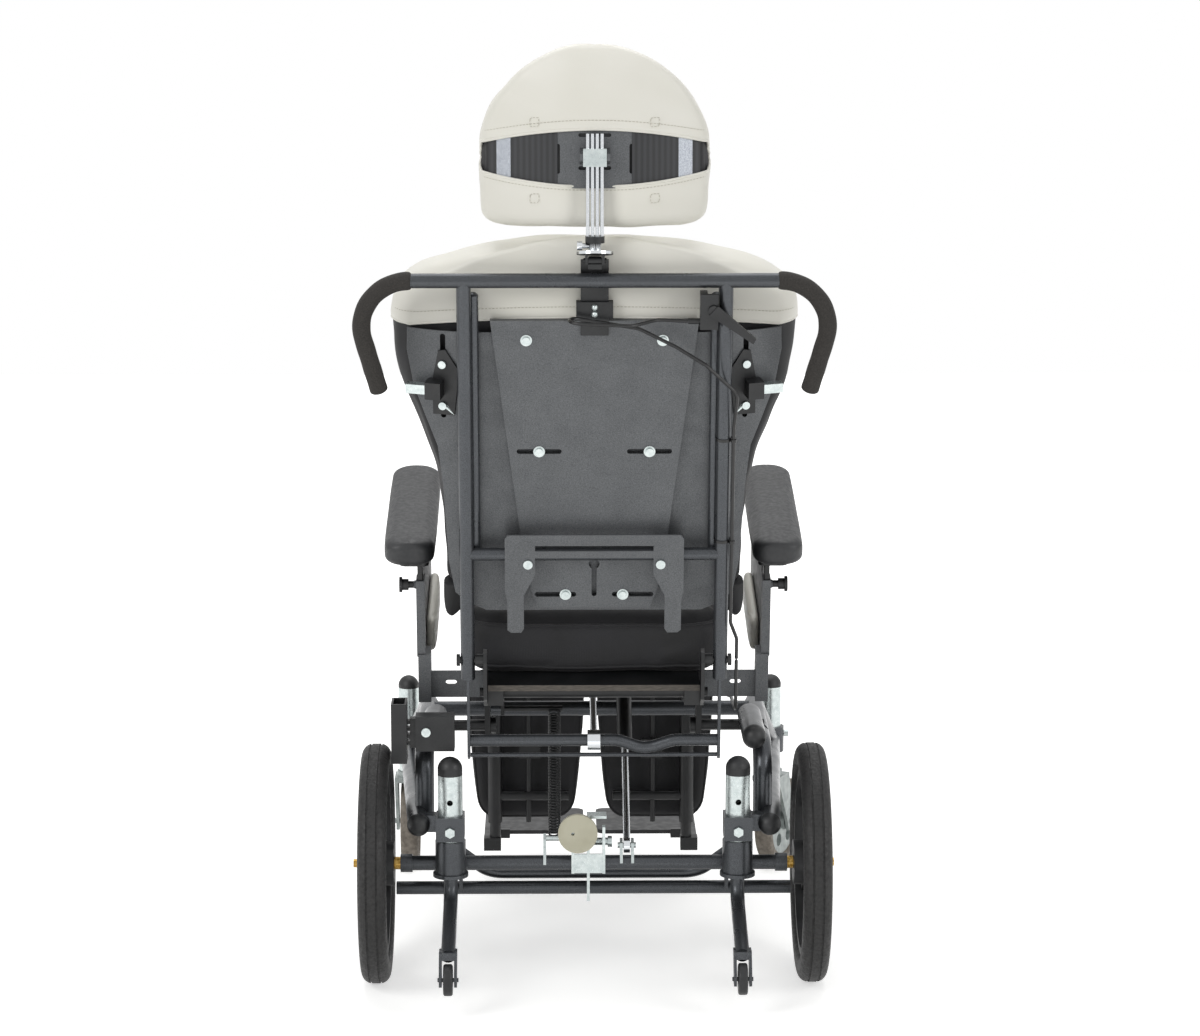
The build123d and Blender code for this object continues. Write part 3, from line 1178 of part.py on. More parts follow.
def nodes():
    """Every node with its place in the chair's frame."""
    tilt_tube, tilt_rod = tilt_strut()
    recline_tube, recline_rod = recline_strut()
    base = {
        "side_frame_left": left(side_frame()),
        "side_frame_right": side_frame(),
        "rear_axle_tube": rear_axle_tube(),
        "base_cross_tubes": base_cross_tubes(),
        "height_posts": Part() + [both(rear_post()), both(front_stem())],
        "tube_end_caps": tube_caps(),
        "accessory_holder": accessory_holder(),
        "tilt_anchor": Part() + [tilt_anchor(), stop_disc()],
        "wheel_axles": both(rear_axle()),
        "base_fasteners": base_fasteners(),
        "tilt_spring": tilt_spring(),
        "rear_tyre_left": left(rear_tyre()),
        "rear_tyre_right": rear_tyre(),
        "rear_wheel_left": left(rear_wheel()),
        "rear_wheel_right": rear_wheel(),
        "anti_tip_arm_left": left(tip_arm()),
        "anti_tip_arm_right": tip_arm(),
        "anti_tip_wheel_left": left(tip_wheel()),
        "anti_tip_wheel_right": tip_wheel(),
    }
    seat = {
        "seat_frame": seat_frame(),
        "seat_plate": seat_plate(),
        "seat_cushion": seat_cushion(),
        "back_hinges": back_hinges(),
        "armrest_sockets": both(arm_socket()),
        "side_panels": both(side_panel()),
        "armrest_left": left(Part() + [arm_pad(), arm_stem()]),
        "armrest_right": Part() + [arm_pad(), arm_stem()],
        "armrest_plunger_left": left(plunger()),
        "armrest_plunger_right": plunger(),
        "seat_cable": seat_cable(),
    }
    leg = {
        "leg_hanger_left": left(leg_hanger()),
        "leg_hanger_right": leg_hanger(),
        "calf_pad_left": left(calf_pad()),
        "calf_pad_right": calf_pad(),
        "footplate_left": left(footplate()),
        "footplate_right": footplate(),
    }
    back = {
        "back_canes": both(cane()),
        "push_bar": push_bar(),
        "push_grips": both(push_grip()),
        "back_tubes": back_tubes(),
        "back_shell": back_shell(),
        "back_panel": back_panel(),
        "back_fasteners": back_fasteners(),
        "hook_bracket": hook_bracket(),
        "back_brackets": Part() + [both(lateral_bracket()), head_clamp(), lever_housing()],
        "back_cushion": back_cushion(),
        "headrest_post": head_post(),
        "headrest_joint": head_joint(),
        "release_lever": release_lever(),
        "release_cable": Part() + [release_cable(), cable_ties()],
    }
    head = {"headrest_plate": head_plate(), "headrest_pad": head_pad()}
    placed = {}
    groups = ((base_place, base), (seat_place, seat), (leg_place, leg), (back_place, back))
    for place, group in (*groups, (head_place, head)):
        for name, shape in group.items():
            placed[name] = place * shape
    for side, word in ((-1, "left"), (1, "right")):
        placed["caster_fork_" + word] = caster_at(side) * caster_fork()
        placed["caster_wheel_" + word] = caster_at(side) * caster_wheel()
    placed["tilt_strut_tube"] = tilt_tube
    placed["tilt_strut_rod"] = tilt_rod
    placed["recline_strut_tube"] = recline_tube
    placed["recline_strut_rod"] = recline_rod
    return placed


os.makedirs("parts", exist_ok=True)
for name, shape in nodes().items():
    export_step(shape, "parts/" + name + ".step")
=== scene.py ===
"""Tilt-in-space positioning chair: finishes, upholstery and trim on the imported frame.

Each part is drawn in millimetres in the frame of the body that carries it, and
world() turns and moves it to metres in the chair's frame.
"""

import json

import bpy
import numpy as np
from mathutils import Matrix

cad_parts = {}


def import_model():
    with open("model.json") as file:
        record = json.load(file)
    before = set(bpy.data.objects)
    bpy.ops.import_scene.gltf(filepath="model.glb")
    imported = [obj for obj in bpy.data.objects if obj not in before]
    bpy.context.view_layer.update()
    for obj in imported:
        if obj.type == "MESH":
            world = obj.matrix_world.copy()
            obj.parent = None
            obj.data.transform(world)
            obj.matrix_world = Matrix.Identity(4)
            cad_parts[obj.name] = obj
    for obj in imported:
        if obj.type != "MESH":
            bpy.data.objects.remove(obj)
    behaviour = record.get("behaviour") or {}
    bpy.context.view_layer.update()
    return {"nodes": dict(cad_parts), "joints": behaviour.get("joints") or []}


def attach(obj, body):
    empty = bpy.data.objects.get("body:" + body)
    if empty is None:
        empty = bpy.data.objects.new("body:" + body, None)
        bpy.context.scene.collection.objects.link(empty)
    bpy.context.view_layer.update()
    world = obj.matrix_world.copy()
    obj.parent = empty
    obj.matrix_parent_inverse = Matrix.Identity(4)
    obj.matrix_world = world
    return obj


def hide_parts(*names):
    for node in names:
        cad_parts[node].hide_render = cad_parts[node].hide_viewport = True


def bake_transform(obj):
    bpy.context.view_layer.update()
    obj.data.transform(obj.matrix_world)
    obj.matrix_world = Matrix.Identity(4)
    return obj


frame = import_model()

MM = 0.001
joints = {joint["name"]: joint for joint in frame["joints"]}


# Frames of the bodies: an origin in millimetres and a pitch about X in degrees


def turned(points, pitch):
    """Points turned about the X axis by pitch degrees."""
    c, s = np.cos(np.radians(pitch)), np.sin(np.radians(pitch))
    x, y, z = np.moveaxis(np.asarray(points, float), -1, 0)
    return np.stack((x, y * c - z * s, y * s + z * c), -1)


def world(points, place):
    """Points of a body's frame in metres in the chair's frame."""
    origin, pitch = place
    return (turned(points, pitch) + origin) * MM


def joint_point(name):
    """A joint's place in millimetres, on the chair's middle plane."""
    _, y, z = joints[name]["pos_m"]
    return np.array((0.0, y / MM, z / MM))


BASE = (np.array((0.0, joints["rear_wheel_r_spin"]["pos_m"][1] / MM, 0.0)), 0.0)
SEAT = (joint_point("seat_tilt"), 10.0)
BACK = (joint_point("back_recline"), 12.0)
LEG = (joint_point("legrest_r_raise"), 0.0)
HEAD = (world((0.0, 40.0, 748.0), BACK) / MM, 0.0)


# Curves and surfaces


def smooth(keys, at):
    """Smooth curve through (position, value) keys, a cubic that never swings past them.

    The slope at a key is the harmonic mean of the slopes beside it, or level at a turn.
    """
    x, y = np.asarray(keys, float).T
    secant = np.diff(y) / np.diff(x)
    before, after = secant[:-1], secant[1:]
    same_way = before * after > 0
    mean = 2 * before * after / np.where(same_way, before + after, 1)
    slope = np.concatenate((secant[:1], np.where(same_way, mean, 0), secant[-1:]))
    i = np.clip(np.searchsorted(x, at) - 1, 0, len(x) - 2)
    step = x[i + 1] - x[i]
    t = np.clip((at - x[i]) / step, 0, 1)
    rise = (y[i + 1] - y[i]) * t * t * (3 - 2 * t)
    return y[i] + rise + step * (slope[i] * t * (1 - t) ** 2 - slope[i + 1] * t * t * (1 - t))


def spaced(points, step):
    """A polyline resampled at an even step along its length."""
    along = np.concatenate(([0.0], np.cumsum(np.linalg.norm(np.diff(points, axis=0), axis=1))))
    count = max(2, int(round(along[-1] / step)) + 1)
    at = np.linspace(0, along[-1], count)
    return np.stack([np.interp(at, along, points[:, k]) for k in range(3)], -1)


def rounded_path(points, radius, step):
    """Straight runs joined by arcs of one radius, as an evenly spaced polyline."""
    points = [np.asarray(p, float) for p in points]
    path = [points[0][None]]
    for before, corner, after in zip(points, points[1:], points[2:]):
        a = (before - corner) / np.linalg.norm(before - corner)
        b = (after - corner) / np.linalg.norm(after - corner)
        half = np.arccos(np.clip(a @ b, -1, 1)) / 2
        middle = (a + b) / np.linalg.norm(a + b)
        centre = corner + middle * radius / np.sin(half)
        sweep = np.linspace(-1, 1, 24)[:, None] * (np.pi / 2 - half)
        across = (b - a) / np.linalg.norm(b - a)
        path.append(centre + radius * (across * np.sin(sweep) - middle * np.cos(sweep)))
    path.append(points[-1][None])
    return spaced(np.concatenate(path), step)


def new_mesh(name, points, faces, uv=None):
    """Object from points in metres and faces, turned so that its faces look outwards."""
    centre = points.mean(0)
    first = np.array([face[:3] for face in faces])
    a, b, c = (points[first[:, k]] - centre for k in range(3))
    inside_out = np.einsum("ij,ij->i", a, np.cross(b, c)).sum() < 0
    if inside_out:
        faces = [face[::-1] for face in faces]
    mesh = bpy.data.meshes.new(name)
    mesh.from_pydata(points.tolist(), [], faces)
    mesh.polygons.foreach_set("use_smooth", np.ones(len(faces), bool))
    if uv is not None:
        corners = np.zeros(len(mesh.loops), np.int32)
        mesh.loops.foreach_get("vertex_index", corners)
        layer = mesh.uv_layers.new(name="cloth")
        layer.data.foreach_set("uv", uv[corners].astype(np.float32).ravel())
    mesh.update()
    made = bpy.data.objects.new(name, mesh)
    bpy.context.scene.collection.objects.link(made)
    return made


def strip(ring):
    """Four-sided faces that close a ring of points, running across it."""
    there, back = ring[:len(ring) // 2], ring[::-1][:len(ring) // 2]
    return np.stack((there[:-1], there[1:], back[1:], back[:-1]), -1)


def surface(name, grid, loops=True, caps=True):
    """Mesh over a grid of points in metres; loops closes each row, caps closes the two end rows.

    The cloth coordinates are the lengths along the rows and columns in metres.
    """
    rows, cols = grid.shape[:2]
    index = np.arange(rows * cols).reshape(rows, cols)
    ring = np.concatenate((index, index[:, :1]), 1) if loops else index
    quads = np.stack((ring[:-1, :-1], ring[:-1, 1:], ring[1:, 1:], ring[1:, :-1]), -1)
    faces = quads.reshape(-1, 4).tolist()
    if loops and caps:
        faces += strip(index[0])[:, ::-1].tolist() + strip(index[-1]).tolist()
    across = np.linalg.norm(np.diff(grid, axis=1), axis=2).max(0)
    along = np.linalg.norm(np.diff(grid, axis=0), axis=2).mean(1)
    u = np.concatenate(([0.0], np.cumsum(across)))
    v = np.concatenate(([0.0], np.cumsum(along)))
    if loops:
        u = np.minimum(u, u[-1] + across[0] - u)
    uv = np.stack(np.broadcast_arrays(u[None, :], v[:, None]), -1).reshape(-1, 2)
    return new_mesh(name, grid.reshape(-1, 3), faces, uv)


def tube_grid(path, radius, around):
    """Circles of a radius carried square to a path, in the path's units, with some points around."""
    along = np.gradient(path, axis=0)
    along /= np.linalg.norm(along, axis=1, keepdims=True)
    flattest = np.eye(3)[np.argmin(np.abs(along).max(0))]
    side = np.cross(along, flattest)
    side /= np.linalg.norm(side, axis=1, keepdims=True)
    up = np.cross(side, along)
    turn = np.linspace(0, 2 * np.pi, around, endpoint=False)
    ring = side[:, None] * np.cos(turn)[None, :, None] + up[:, None] * np.sin(turn)[None, :, None]
    return path[:, None] + ring * np.reshape(radius, (-1, 1, 1))


def joined(name, objects):
    """Several mesh objects merged into one, keeping their materials."""
    with bpy.context.temp_override(active_object=objects[0], selected_editable_objects=objects):
        bpy.ops.object.join()
    objects[0].name = name
    return objects[0]


# Padded forms

end_core = 0.06  # share of the size that is left where a pad's end closes
end_rows = 8  # rows in the turn of a pad's end, and in the flat that closes it
full_share = 0.99  # rows with more of the size left than this aren't in a closing end
corner_most = 0.98  # a corner radius is at most this share of the smaller half size
rear_side, rear_reach = -0.99, 0.97  # stations on the rear side, and how far across they count
soft_pressure = 4.0  # pressure that swells the cushions
cloth_steps = 20
base_held = 2.0  # rows within this of a slab's base don't swell
stitch_length, stitch_gap, thread_r = 3.4, 1.6, 0.42
stitch_share = np.array((0.0, 0.12, 0.5, 0.88, 1.0))  # rings along a stitch
stitch_girth = np.array((0.35, 0.85, 1.0, 0.85, 0.35))  # share of the thread's radius at each ring


def grid_at(place, x, y, z):
    """Grid of points in metres from arrays of a body's frame in millimetres."""
    return world(np.stack(np.broadcast_arrays(x, y, z), -1), place)


def loop_stations(across, deep, turn):
    """Stations round a rounded rectangle: which side each lies on and its outward direction.

    They run along the front from right to left, round the left side, along the
    rear and back up the right side.
    """
    def run(a, b, count):
        return np.linspace(a, b, count, endpoint=False)

    one, quarter = np.ones, np.pi / 2
    sx = np.concatenate((run(1, -1, across), -one(turn), -one(deep), -one(turn)))
    sx = np.concatenate((sx, -sx))
    sy = np.concatenate((one(across), one(turn), run(1, -1, deep), -one(turn)))
    sy = np.concatenate((sy, -sy))
    angle = np.concatenate((
        quarter * one(across), run(quarter, 2 * quarter, turn),
        2 * quarter * one(deep), run(2 * quarter, 3 * quarter, turn),
    ))
    angle = np.concatenate((angle, angle + 2 * quarter))
    return sx, sy, np.cos(angle), np.sin(angle)


def pad_loops(stations, half_wide, half_deep, corner):
    """Rounded rectangles of each row's half sizes, as (wide, deep) arrays.

    The corner radius is an array over rows and stations, or over rows alone.
    """
    sx, sy, ca, sa = (value[None, :] for value in stations)
    a, b = (np.reshape(value, (-1, 1)) for value in (half_wide, half_deep))
    r = np.minimum(corner, np.minimum(a, b) * corner_most)
    return sx * (a - r) + r * ca, sy * (b - r) + r * sa


def rounded_ends(length, round_end, step):
    """Rows of a pad closed at both ends: places along it and how far each row draws in.

    The ends turn in on a quarter circle, then close flat towards the middle.
    Returns places, the inset in the radius, and the share of the size that is left.
    """
    turn = np.linspace(0, np.pi / 2, end_rows + 1)
    body = np.arange(round_end, length - round_end + 1e-6, step)
    start = round_end * (1 - np.sin(turn))[::-1][:-1]
    inset = round_end * (1 - np.cos(turn))[::-1][:-1]
    shrink = np.linspace(end_core, 1, end_rows + 1)[:-1]
    flat = np.ones(end_rows)
    places = np.concatenate((0 * flat, start, body, length - start[::-1], length * flat))
    insets = np.concatenate((round_end * flat, inset, 0 * body, inset[::-1], round_end * flat))
    shares = np.concatenate((shrink, flat, np.ones(len(body)), flat, shrink[::-1]))
    return places, insets, shares


def slab(thick, edge, step, stations, half, corner):
    """Slab with rounded edges: rounded rectangles of two half sizes, stacked through its thickness.

    Returns the two wide arrays, and each row's depth and the share of the size that is left.
    """
    depth, inset, share = rounded_ends(thick, edge, step)
    corner = np.reshape(corner, (1, -1)) * share[:, None]
    a, b = pad_loops(stations, (half[0] - inset) * share, (half[1] - inset) * share, corner)
    return a, b, depth, share


def outward(grid):
    """Unit normals of a looped grid, pointing away from the middle of each row."""
    across = np.roll(grid, -1, 1) - np.roll(grid, 1, 1)
    along = np.gradient(grid, axis=0)
    normal = np.cross(across, along)
    normal /= np.linalg.norm(normal, axis=2, keepdims=True) + 1e-12
    away = grid - grid.mean(1, keepdims=True)
    return normal * np.sign((normal * away).sum(2).mean())


def sampled(grid, row, col):
    """Grid values at fractional row and column numbers; columns wrap round."""
    row = np.clip(row, 0, len(grid) - 1.001)
    r, c = np.floor(row).astype(int), np.floor(col).astype(int)
    fr, fc = (row - r)[..., None], (col - c)[..., None]
    c0, c1 = c % grid.shape[1], (c + 1) % grid.shape[1]
    near = grid[r, c0] * (1 - fc) + grid[r, c1] * fc
    far = grid[r + 1, c0] * (1 - fc) + grid[r + 1, c1] * fc
    return near * (1 - fr) + far * fr


def inflated(grid, held, pressure, limit):
    """The grid blown up as cloth: held points stay, and none moves further than the limit in millimetres."""
    work = surface("cloth_work", grid)
    group = work.vertex_groups.new(name="held")
    still = np.flatnonzero(np.broadcast_to(held, grid.shape[:2]))
    group.add(still.tolist(), 1.0, "REPLACE")
    settings = work.modifiers.new("cloth", "CLOTH").settings
    settings.quality = 4
    settings.mass = 0.25
    settings.tension_stiffness = settings.compression_stiffness = 18
    settings.shear_stiffness = 8
    settings.bending_stiffness = 0.6
    settings.use_pressure = True
    settings.uniform_pressure_force = pressure
    settings.vertex_group_mass = "held"
    settings.effector_weights.gravity = 0
    scene = bpy.context.scene
    for step in range(1, cloth_steps + 1):
        scene.frame_set(step)
    result = work.evaluated_get(bpy.context.evaluated_depsgraph_get()).to_mesh()
    moved = np.zeros(grid.size, np.float32)
    result.vertices.foreach_get("co", moved)
    bpy.data.objects.remove(work)
    scene.frame_set(1)
    shift = moved.reshape(grid.shape) - grid
    length = np.linalg.norm(shift, axis=2, keepdims=True)
    return grid + shift * np.minimum(1, limit * MM / np.maximum(length, 1e-9))


def ripple(grid, normal, depth, waves):
    """Low soft folds raised along the normal: a sum of sine waves with lengths in millimetres."""
    height = np.zeros(grid.shape[:2])
    for length, direction, phase in waves:
        height += 1 + np.sin(grid @ np.asarray(direction) * 2 * np.pi / (length * MM) + phase)
    return grid + normal * (height * depth * MM / len(waves))[..., None]


def stitch_line(path, lift):
    """Sewn thread along a path in millimetres: short rounded bars raised by the vector lift.

    Each bar is a row of hexagons along the stitch, thin at its ends. Returns (points, faces).
    """
    steps = spaced(path, stitch_length + stitch_gap)
    way = np.diff(steps, axis=0)
    way /= np.linalg.norm(way, axis=1, keepdims=True)
    side = np.cross(way, np.broadcast_to(lift / np.linalg.norm(lift), way.shape))
    side /= np.linalg.norm(side, axis=1, keepdims=True)
    up = np.cross(side, way)
    turn = np.linspace(0, 2 * np.pi, 6, endpoint=False)[:, None]
    hexagon = np.cos(turn) * side[:, None, None] + np.sin(turn) * up[:, None, None]
    along = way[:, None, None] * (stitch_share * stitch_length)[:, None, None]
    girth = (stitch_girth * thread_r)[:, None, None]
    points = (steps[:-1] + lift)[:, None, None] + along + hexagon * girth
    count, rows, around = points.shape[:3]
    index = np.arange(rows * around).reshape(rows, around)
    ring = np.concatenate((index, index[:, :1]), 1)
    quads = np.stack((ring[:-1, :-1], ring[:-1, 1:], ring[1:, 1:], ring[1:, :-1]), -1).reshape(-1, 4)
    offset = (np.arange(count) * rows * around)[:, None]
    faces = (quads[None] + offset[:, None]).reshape(-1, 4).tolist()
    faces += (index[0][::-1] + offset).tolist() + (index[-1] + offset).tolist()
    return points.reshape(-1, 3), faces


# Materials


def linear(hex_colour):
    """An sRGB hex colour as linear RGBA."""
    srgb = np.array([int(hex_colour[i:i + 2], 16) for i in (0, 2, 4)]) / 255
    value = np.where(srgb <= 0.04045, srgb / 12.92, ((srgb + 0.055) / 1.055) ** 2.4)
    return (*value.tolist(), 1.0)


def add(tree, kind, inputs=(), **settings):
    """One shader node with its settings; an input takes a value or another node's output."""
    made = tree.nodes.new(kind)
    for key, value in settings.items():
        setattr(made, key, value)
    for socket, value in inputs:
        if isinstance(value, bpy.types.NodeSocket):
            tree.links.new(value, made.inputs[socket])
        else:
            made.inputs[socket].default_value = value
    return made


def per_mm(size):
    """Texture scale whose pattern repeats about every size millimetres."""
    return 1 / (size * MM)


noise_roughness, ramp_half = 0.5, 0.15  # roughness of a noise pattern, and the reach of its ramp


def follow(material, socket, pattern, low, high, half=ramp_half):
    """Drive a shader socket by a pattern, from low to high over half either side of 0.5.

    The colour takes hex values. For Normal, low is the relief's depth in millimetres and high its strength.
    """
    tree = material.node_tree
    ramp = (("Value", pattern), ("From Min", 0.5 - half), ("From Max", 0.5 + half))
    if socket == "Normal":
        relief = (("Height", pattern), ("Distance", low * MM), ("Strength", high))
        result = add(tree, "ShaderNodeBump", relief).outputs[0]
    elif socket == "Base Color":
        share = add(tree, "ShaderNodeMapRange", ramp).outputs[0]
        colours = (("Factor", share), (6, linear(low)), (7, linear(high)))
        result = add(tree, "ShaderNodeMix", colours, data_type="RGBA").outputs[2]
    else:
        ramp = (*ramp, ("To Min", low), ("To Max", high))
        result = add(tree, "ShaderNodeMapRange", ramp).outputs[0]
    tree.links.new(result, tree.nodes["Principled BSDF"].inputs[socket])


def coordinates(material):
    """The coordinates that the patterns of a finish lie in."""
    return material.node_tree.nodes["coordinates"].outputs


def surface_finish(
    name, colour, roughness, metallic=0.0, tint=None, gloss=None, grain=None, cells=None,
    stretch=None, tint_rough=noise_roughness, tint_half=ramp_half, **sockets,
):
    """A material whose sockets follow patterns with features of about a size in millimetres.

    tint and gloss are noise in the colour and the roughness, as (size, detail, low, high).
    grain is relief from noise, as (size, detail, depth in millimetres, strength).
    cells is relief from the distance to scattered points, as (size, depth, strength).
    tint_rough and tint_half are the tint's roughness of noise and reach of ramp.
    stretch draws the patterns finer along each axis by its shares.
    """
    material = bpy.data.materials.new(name)
    material.use_nodes = True
    tree = material.node_tree
    shader = tree.nodes["Principled BSDF"]
    values = {"Base_Color": linear(colour), "Roughness": roughness, "Metallic": metallic, **sockets}
    for socket, value in values.items():
        shader.inputs[socket.replace("_", " ")].default_value = value
    add(tree, "ShaderNodeTexCoord", name="coordinates")
    place = coordinates(material)["Object"]
    if stretch:
        place = add(tree, "ShaderNodeMapping", (("Vector", place), ("Scale", stretch))).outputs[0]
    patterns = (
        ("Base Color", tint, tint_rough, tint_half),
        ("Roughness", gloss, noise_roughness, ramp_half),
        ("Normal", grain, noise_roughness, ramp_half),
    )
    for socket, pattern, rough, reach in patterns:
        if pattern:
            size, detail, low, high = pattern
            inputs = (("Vector", place), ("Scale", per_mm(size)), ("Detail", detail), ("Roughness", rough))
            noise = add(tree, "ShaderNodeTexNoise", inputs).outputs["Fac"]
            follow(material, socket, noise, low, high, reach)
    if cells:
        size, depth, strength = cells
        points = add(tree, "ShaderNodeTexVoronoi", (("Vector", place), ("Scale", per_mm(size))))
        follow(material, "Normal", points.outputs["Distance"], depth, strength)
    return material


tyre_cuts, cut_reach = 110.0, 5.5  # fine cuts round the tyre, and how far they run from its middle
cut_level = 0.7  # the wave round the tyre is a cut above this
weave_size, rib_size = 1.2, 4.0  # spacing of the fabric's threads and of the elastic's ribs


def tyre_rubber():
    """Moulded black tyre: matt, with a row of fine cuts across the middle of the tread.

    The cuts are where the sine of the angle round the axle times their number is high, near the middle.
    """
    material = surface_finish(
        "tyre_rubber", "121212", 0.6, tint=(14, 4, "0e0e0e", "1b1a1a"), gloss=(4, 3, 0.5, 0.72),
    )
    tree = material.node_tree
    axle_x, axle_y, axle_z = joints["rear_wheel_r_spin"]["pos_m"]
    apart = add(tree, "ShaderNodeSeparateXYZ", (("Vector", coordinates(material)["Object"]),))
    value = {axis: apart.outputs[axis] for axis in "XYZ"}
    sums = (  # the name of a result, the operation and what it works on
        ("back", "SUBTRACT", "Y", axle_y),
        ("up", "SUBTRACT", "Z", axle_z),
        ("angle", "ARCTAN2", "back", "up"),
        ("turns", "MULTIPLY", "angle", tyre_cuts),
        ("wave", "SINE", "turns", 0.0),
        ("across", "ABSOLUTE", "X", 0.0),
        ("aside", "SUBTRACT", "across", abs(axle_x)),
        ("away", "ABSOLUTE", "aside", 0.0),
        ("high", "GREATER_THAN", "wave", cut_level),
        ("near", "LESS_THAN", "away", cut_reach * MM),
        ("cut", "MULTIPLY", "high", "near"),
        ("height", "MULTIPLY", "cut", -1.0),
    )
    for name, operation, first, second in sums:
        inputs = ((0, value[first]), (1, value.get(second, second)))
        value[name] = add(tree, "ShaderNodeMath", inputs, operation=operation).outputs[0]
    follow(material, "Normal", value["height"], 0.8, 0.9)
    return material


def black_upholstery_fabric():
    """Woven polyester in blue-black: threads at 1.2 mm, drawn coarser than the real 0.5 mm to show."""
    material = surface_finish(
        "black_upholstery_fabric", "0e0e11", 0.74, tint=(60, 2, "0b0b0d", "131317"),
        Sheen_Weight=0.12, Sheen_Roughness=0.4,
    )
    tree, cloth = material.node_tree, coordinates(material)["UV"]
    thread = []
    for turn in (0.0, np.pi / 2):
        way = add(tree, "ShaderNodeMapping", (("Vector", cloth), ("Rotation", (0, 0, turn))))
        inputs = (("Vector", way.outputs[0]), ("Scale", per_mm(weave_size) / (2 * np.pi)))
        thread.append(add(tree, "ShaderNodeTexWave", inputs).outputs["Fac"])
    weave = add(tree, "ShaderNodeMath", ((0, thread[0]), (1, thread[1])), operation="MULTIPLY")
    follow(material, "Normal", weave.outputs[0], 0.15, 0.6)
    return material


def black_elastic():
    """Ribbed black elastic: upright ribs about 4 mm apart."""
    material = surface_finish("black_elastic", "1d1e20", 0.6, Sheen_Weight=0.2)
    inputs = (("Vector", coordinates(material)["Object"]), ("Scale", per_mm(rib_size) / (2 * np.pi)))
    rib = add(material.node_tree, "ShaderNodeTexWave", inputs, bands_direction="X").outputs["Fac"]
    follow(material, "Normal", rib, 0.3, 0.5)
    follow(material, "Base Color", rib, "161719", "2b2c2f", 0.4)
    return material


# Anthracite powder coat with fine flake: semi-gloss, with a slight orange peel
COAT = surface_finish(
    "powder_coated_steel", "3a3c3f", 0.3, 0.55,
    tint=(0.9, 3, "383a3d", "54575b"), gloss=(40, 2, 0.26, 0.36), grain=(1.6, 2, 0.05, 0.5),
)
# Sheet steel with a fine-textured grey coat: speckled, satin, grain under a millimetre
SHEET = surface_finish(
    "textured_sheet_steel", "4b4d4e", 0.46, 0.4, tint_rough=0.7, tint_half=0.2,
    tint=(1.4, 4, "45474a", "6c6e70"), gloss=(30, 2, 0.44, 0.56), grain=(0.9, 3, 0.10, 0.6),
)
# Satin black coat on brackets and struts: low sheen, slightly uneven
BLACK = surface_finish(
    "black_coated_steel", "151618", 0.4, 0.1,
    tint=(1.2, 3, "0f1011", "1b1c1e"), gloss=(25, 2, 0.36, 0.5), grain=(1.1, 2, 0.05, 0.4),
)
# Bright zinc plate on tube and screws: cool grey with a cloudy spangle
ZINC = surface_finish(
    "zinc_plated_steel", "bfc8c8", 0.32, 0.9, tint_rough=0.6, tint_half=0.2,
    tint=(9, 4, "b1baba", "c9d0cf"), gloss=(3, 3, 0.26, 0.40), grain=(0.7, 2, 0.02, 0.4),
)
# Polished and chromed rod: mirror-like with faint handling marks
ROD = surface_finish("bright_steel_rod", "d6d9dc", 0.14, 1.0, gloss=(2.5, 3, 0.10, 0.20))
# Yellow-passivated axle nut: brassy with a slight mottling
NUT = surface_finish("yellow_zinc_nut", "b08a45", 0.3, 1.0, tint=(3, 3, "96702f", "c9a862"))
TYRE = tyre_rubber()
# Non-marking grey-brown caster tread, matt and scuffed
CASTER = surface_finish(
    "grey_caster_rubber", "7b7268", 0.66, tint=(8, 4, "6a6259", "8b8379"), grain=(1.0, 3, 0.06, 0.5),
)
# Moulded polyamide: black, satin, with a fine spark-eroded grain
PLASTIC = surface_finish(
    "moulded_black_plastic", "17181a", 0.48,
    tint=(20, 3, "131415", "202123"), gloss=(12, 3, 0.42, 0.56), grain=(0.8, 2, 0.05, 0.6),
)
# Moulded caster fork in silver-grey nylon: satin, slightly clouded by flow
FORK = surface_finish(
    "silver_grey_nylon", "a3abaa", 0.42, 0.2, tint=(12, 4, "949c9b", "b3bab8"), grain=(0.9, 2, 0.04, 0.5),
)
# Uncoloured nylon disc: warm ivory, satin
NYLON = surface_finish(
    "natural_nylon", "bdb9a2", 0.45, tint=(30, 2, "b9b59f", "c4c1ac"), grain=(0.7, 2, 0.03, 0.5),
)
# Closed-cell foam sleeve: charcoal, dull, with pinholes about a millimetre across
FOAM = surface_finish(
    "grip_foam", "302e2c", 0.9, tint_rough=0.7, tint_half=0.2,
    tint=(2.2, 4, "262422", "3c3936"), cells=(1.1, 0.22, 0.7),
)
# Integral-skin foam armrest: dark grey with a fine leather-like grain pressed in the mould
SKIN = surface_finish(
    "skinned_foam", "262729", 0.5,
    tint=(60, 2, "232426", "2a2b2d"), gloss=(6, 3, 0.44, 0.58), cells=(1.3, 0.10, 0.6),
)
# Coated upholstery in cream white: soft sheen and a fine pebble grain
WHITE = surface_finish(
    "white_leatherette", "e6e4da", 0.46,
    tint=(90, 1, "e4e2d8", "e8e6dd"), gloss=(3, 3, 0.40, 0.54), cells=(1.5, 0.10, 0.55),
    Sheen_Weight=0.12, Sheen_Roughness=0.5, Coat_Weight=0.08, Coat_Roughness=0.4,
)
FABRIC = black_upholstery_fabric()
ELASTIC = black_elastic()
# Woven reflective tape: pale silver-blue, satin, finely uneven
TAPE = surface_finish(
    "silver_tape", "9ea3ab", 0.38, 0.6, tint=(1.5, 3, "8d929b", "b4b8be"), grain=(0.8, 2, 0.05, 0.5),
)
# Black PVC cable sheath: smooth and softly glossy
SHEATH = surface_finish("cable_sheath", "111112", 0.34, gloss=(8, 2, 0.28, 0.42))
# Resin-bonded seat board: taupe edge with a fibrous streak
BOARD = surface_finish("seat_board", "4b4640", 0.6, tint=(10, 4, "3e3a35", "5c564f"), stretch=(1, 1, 8))
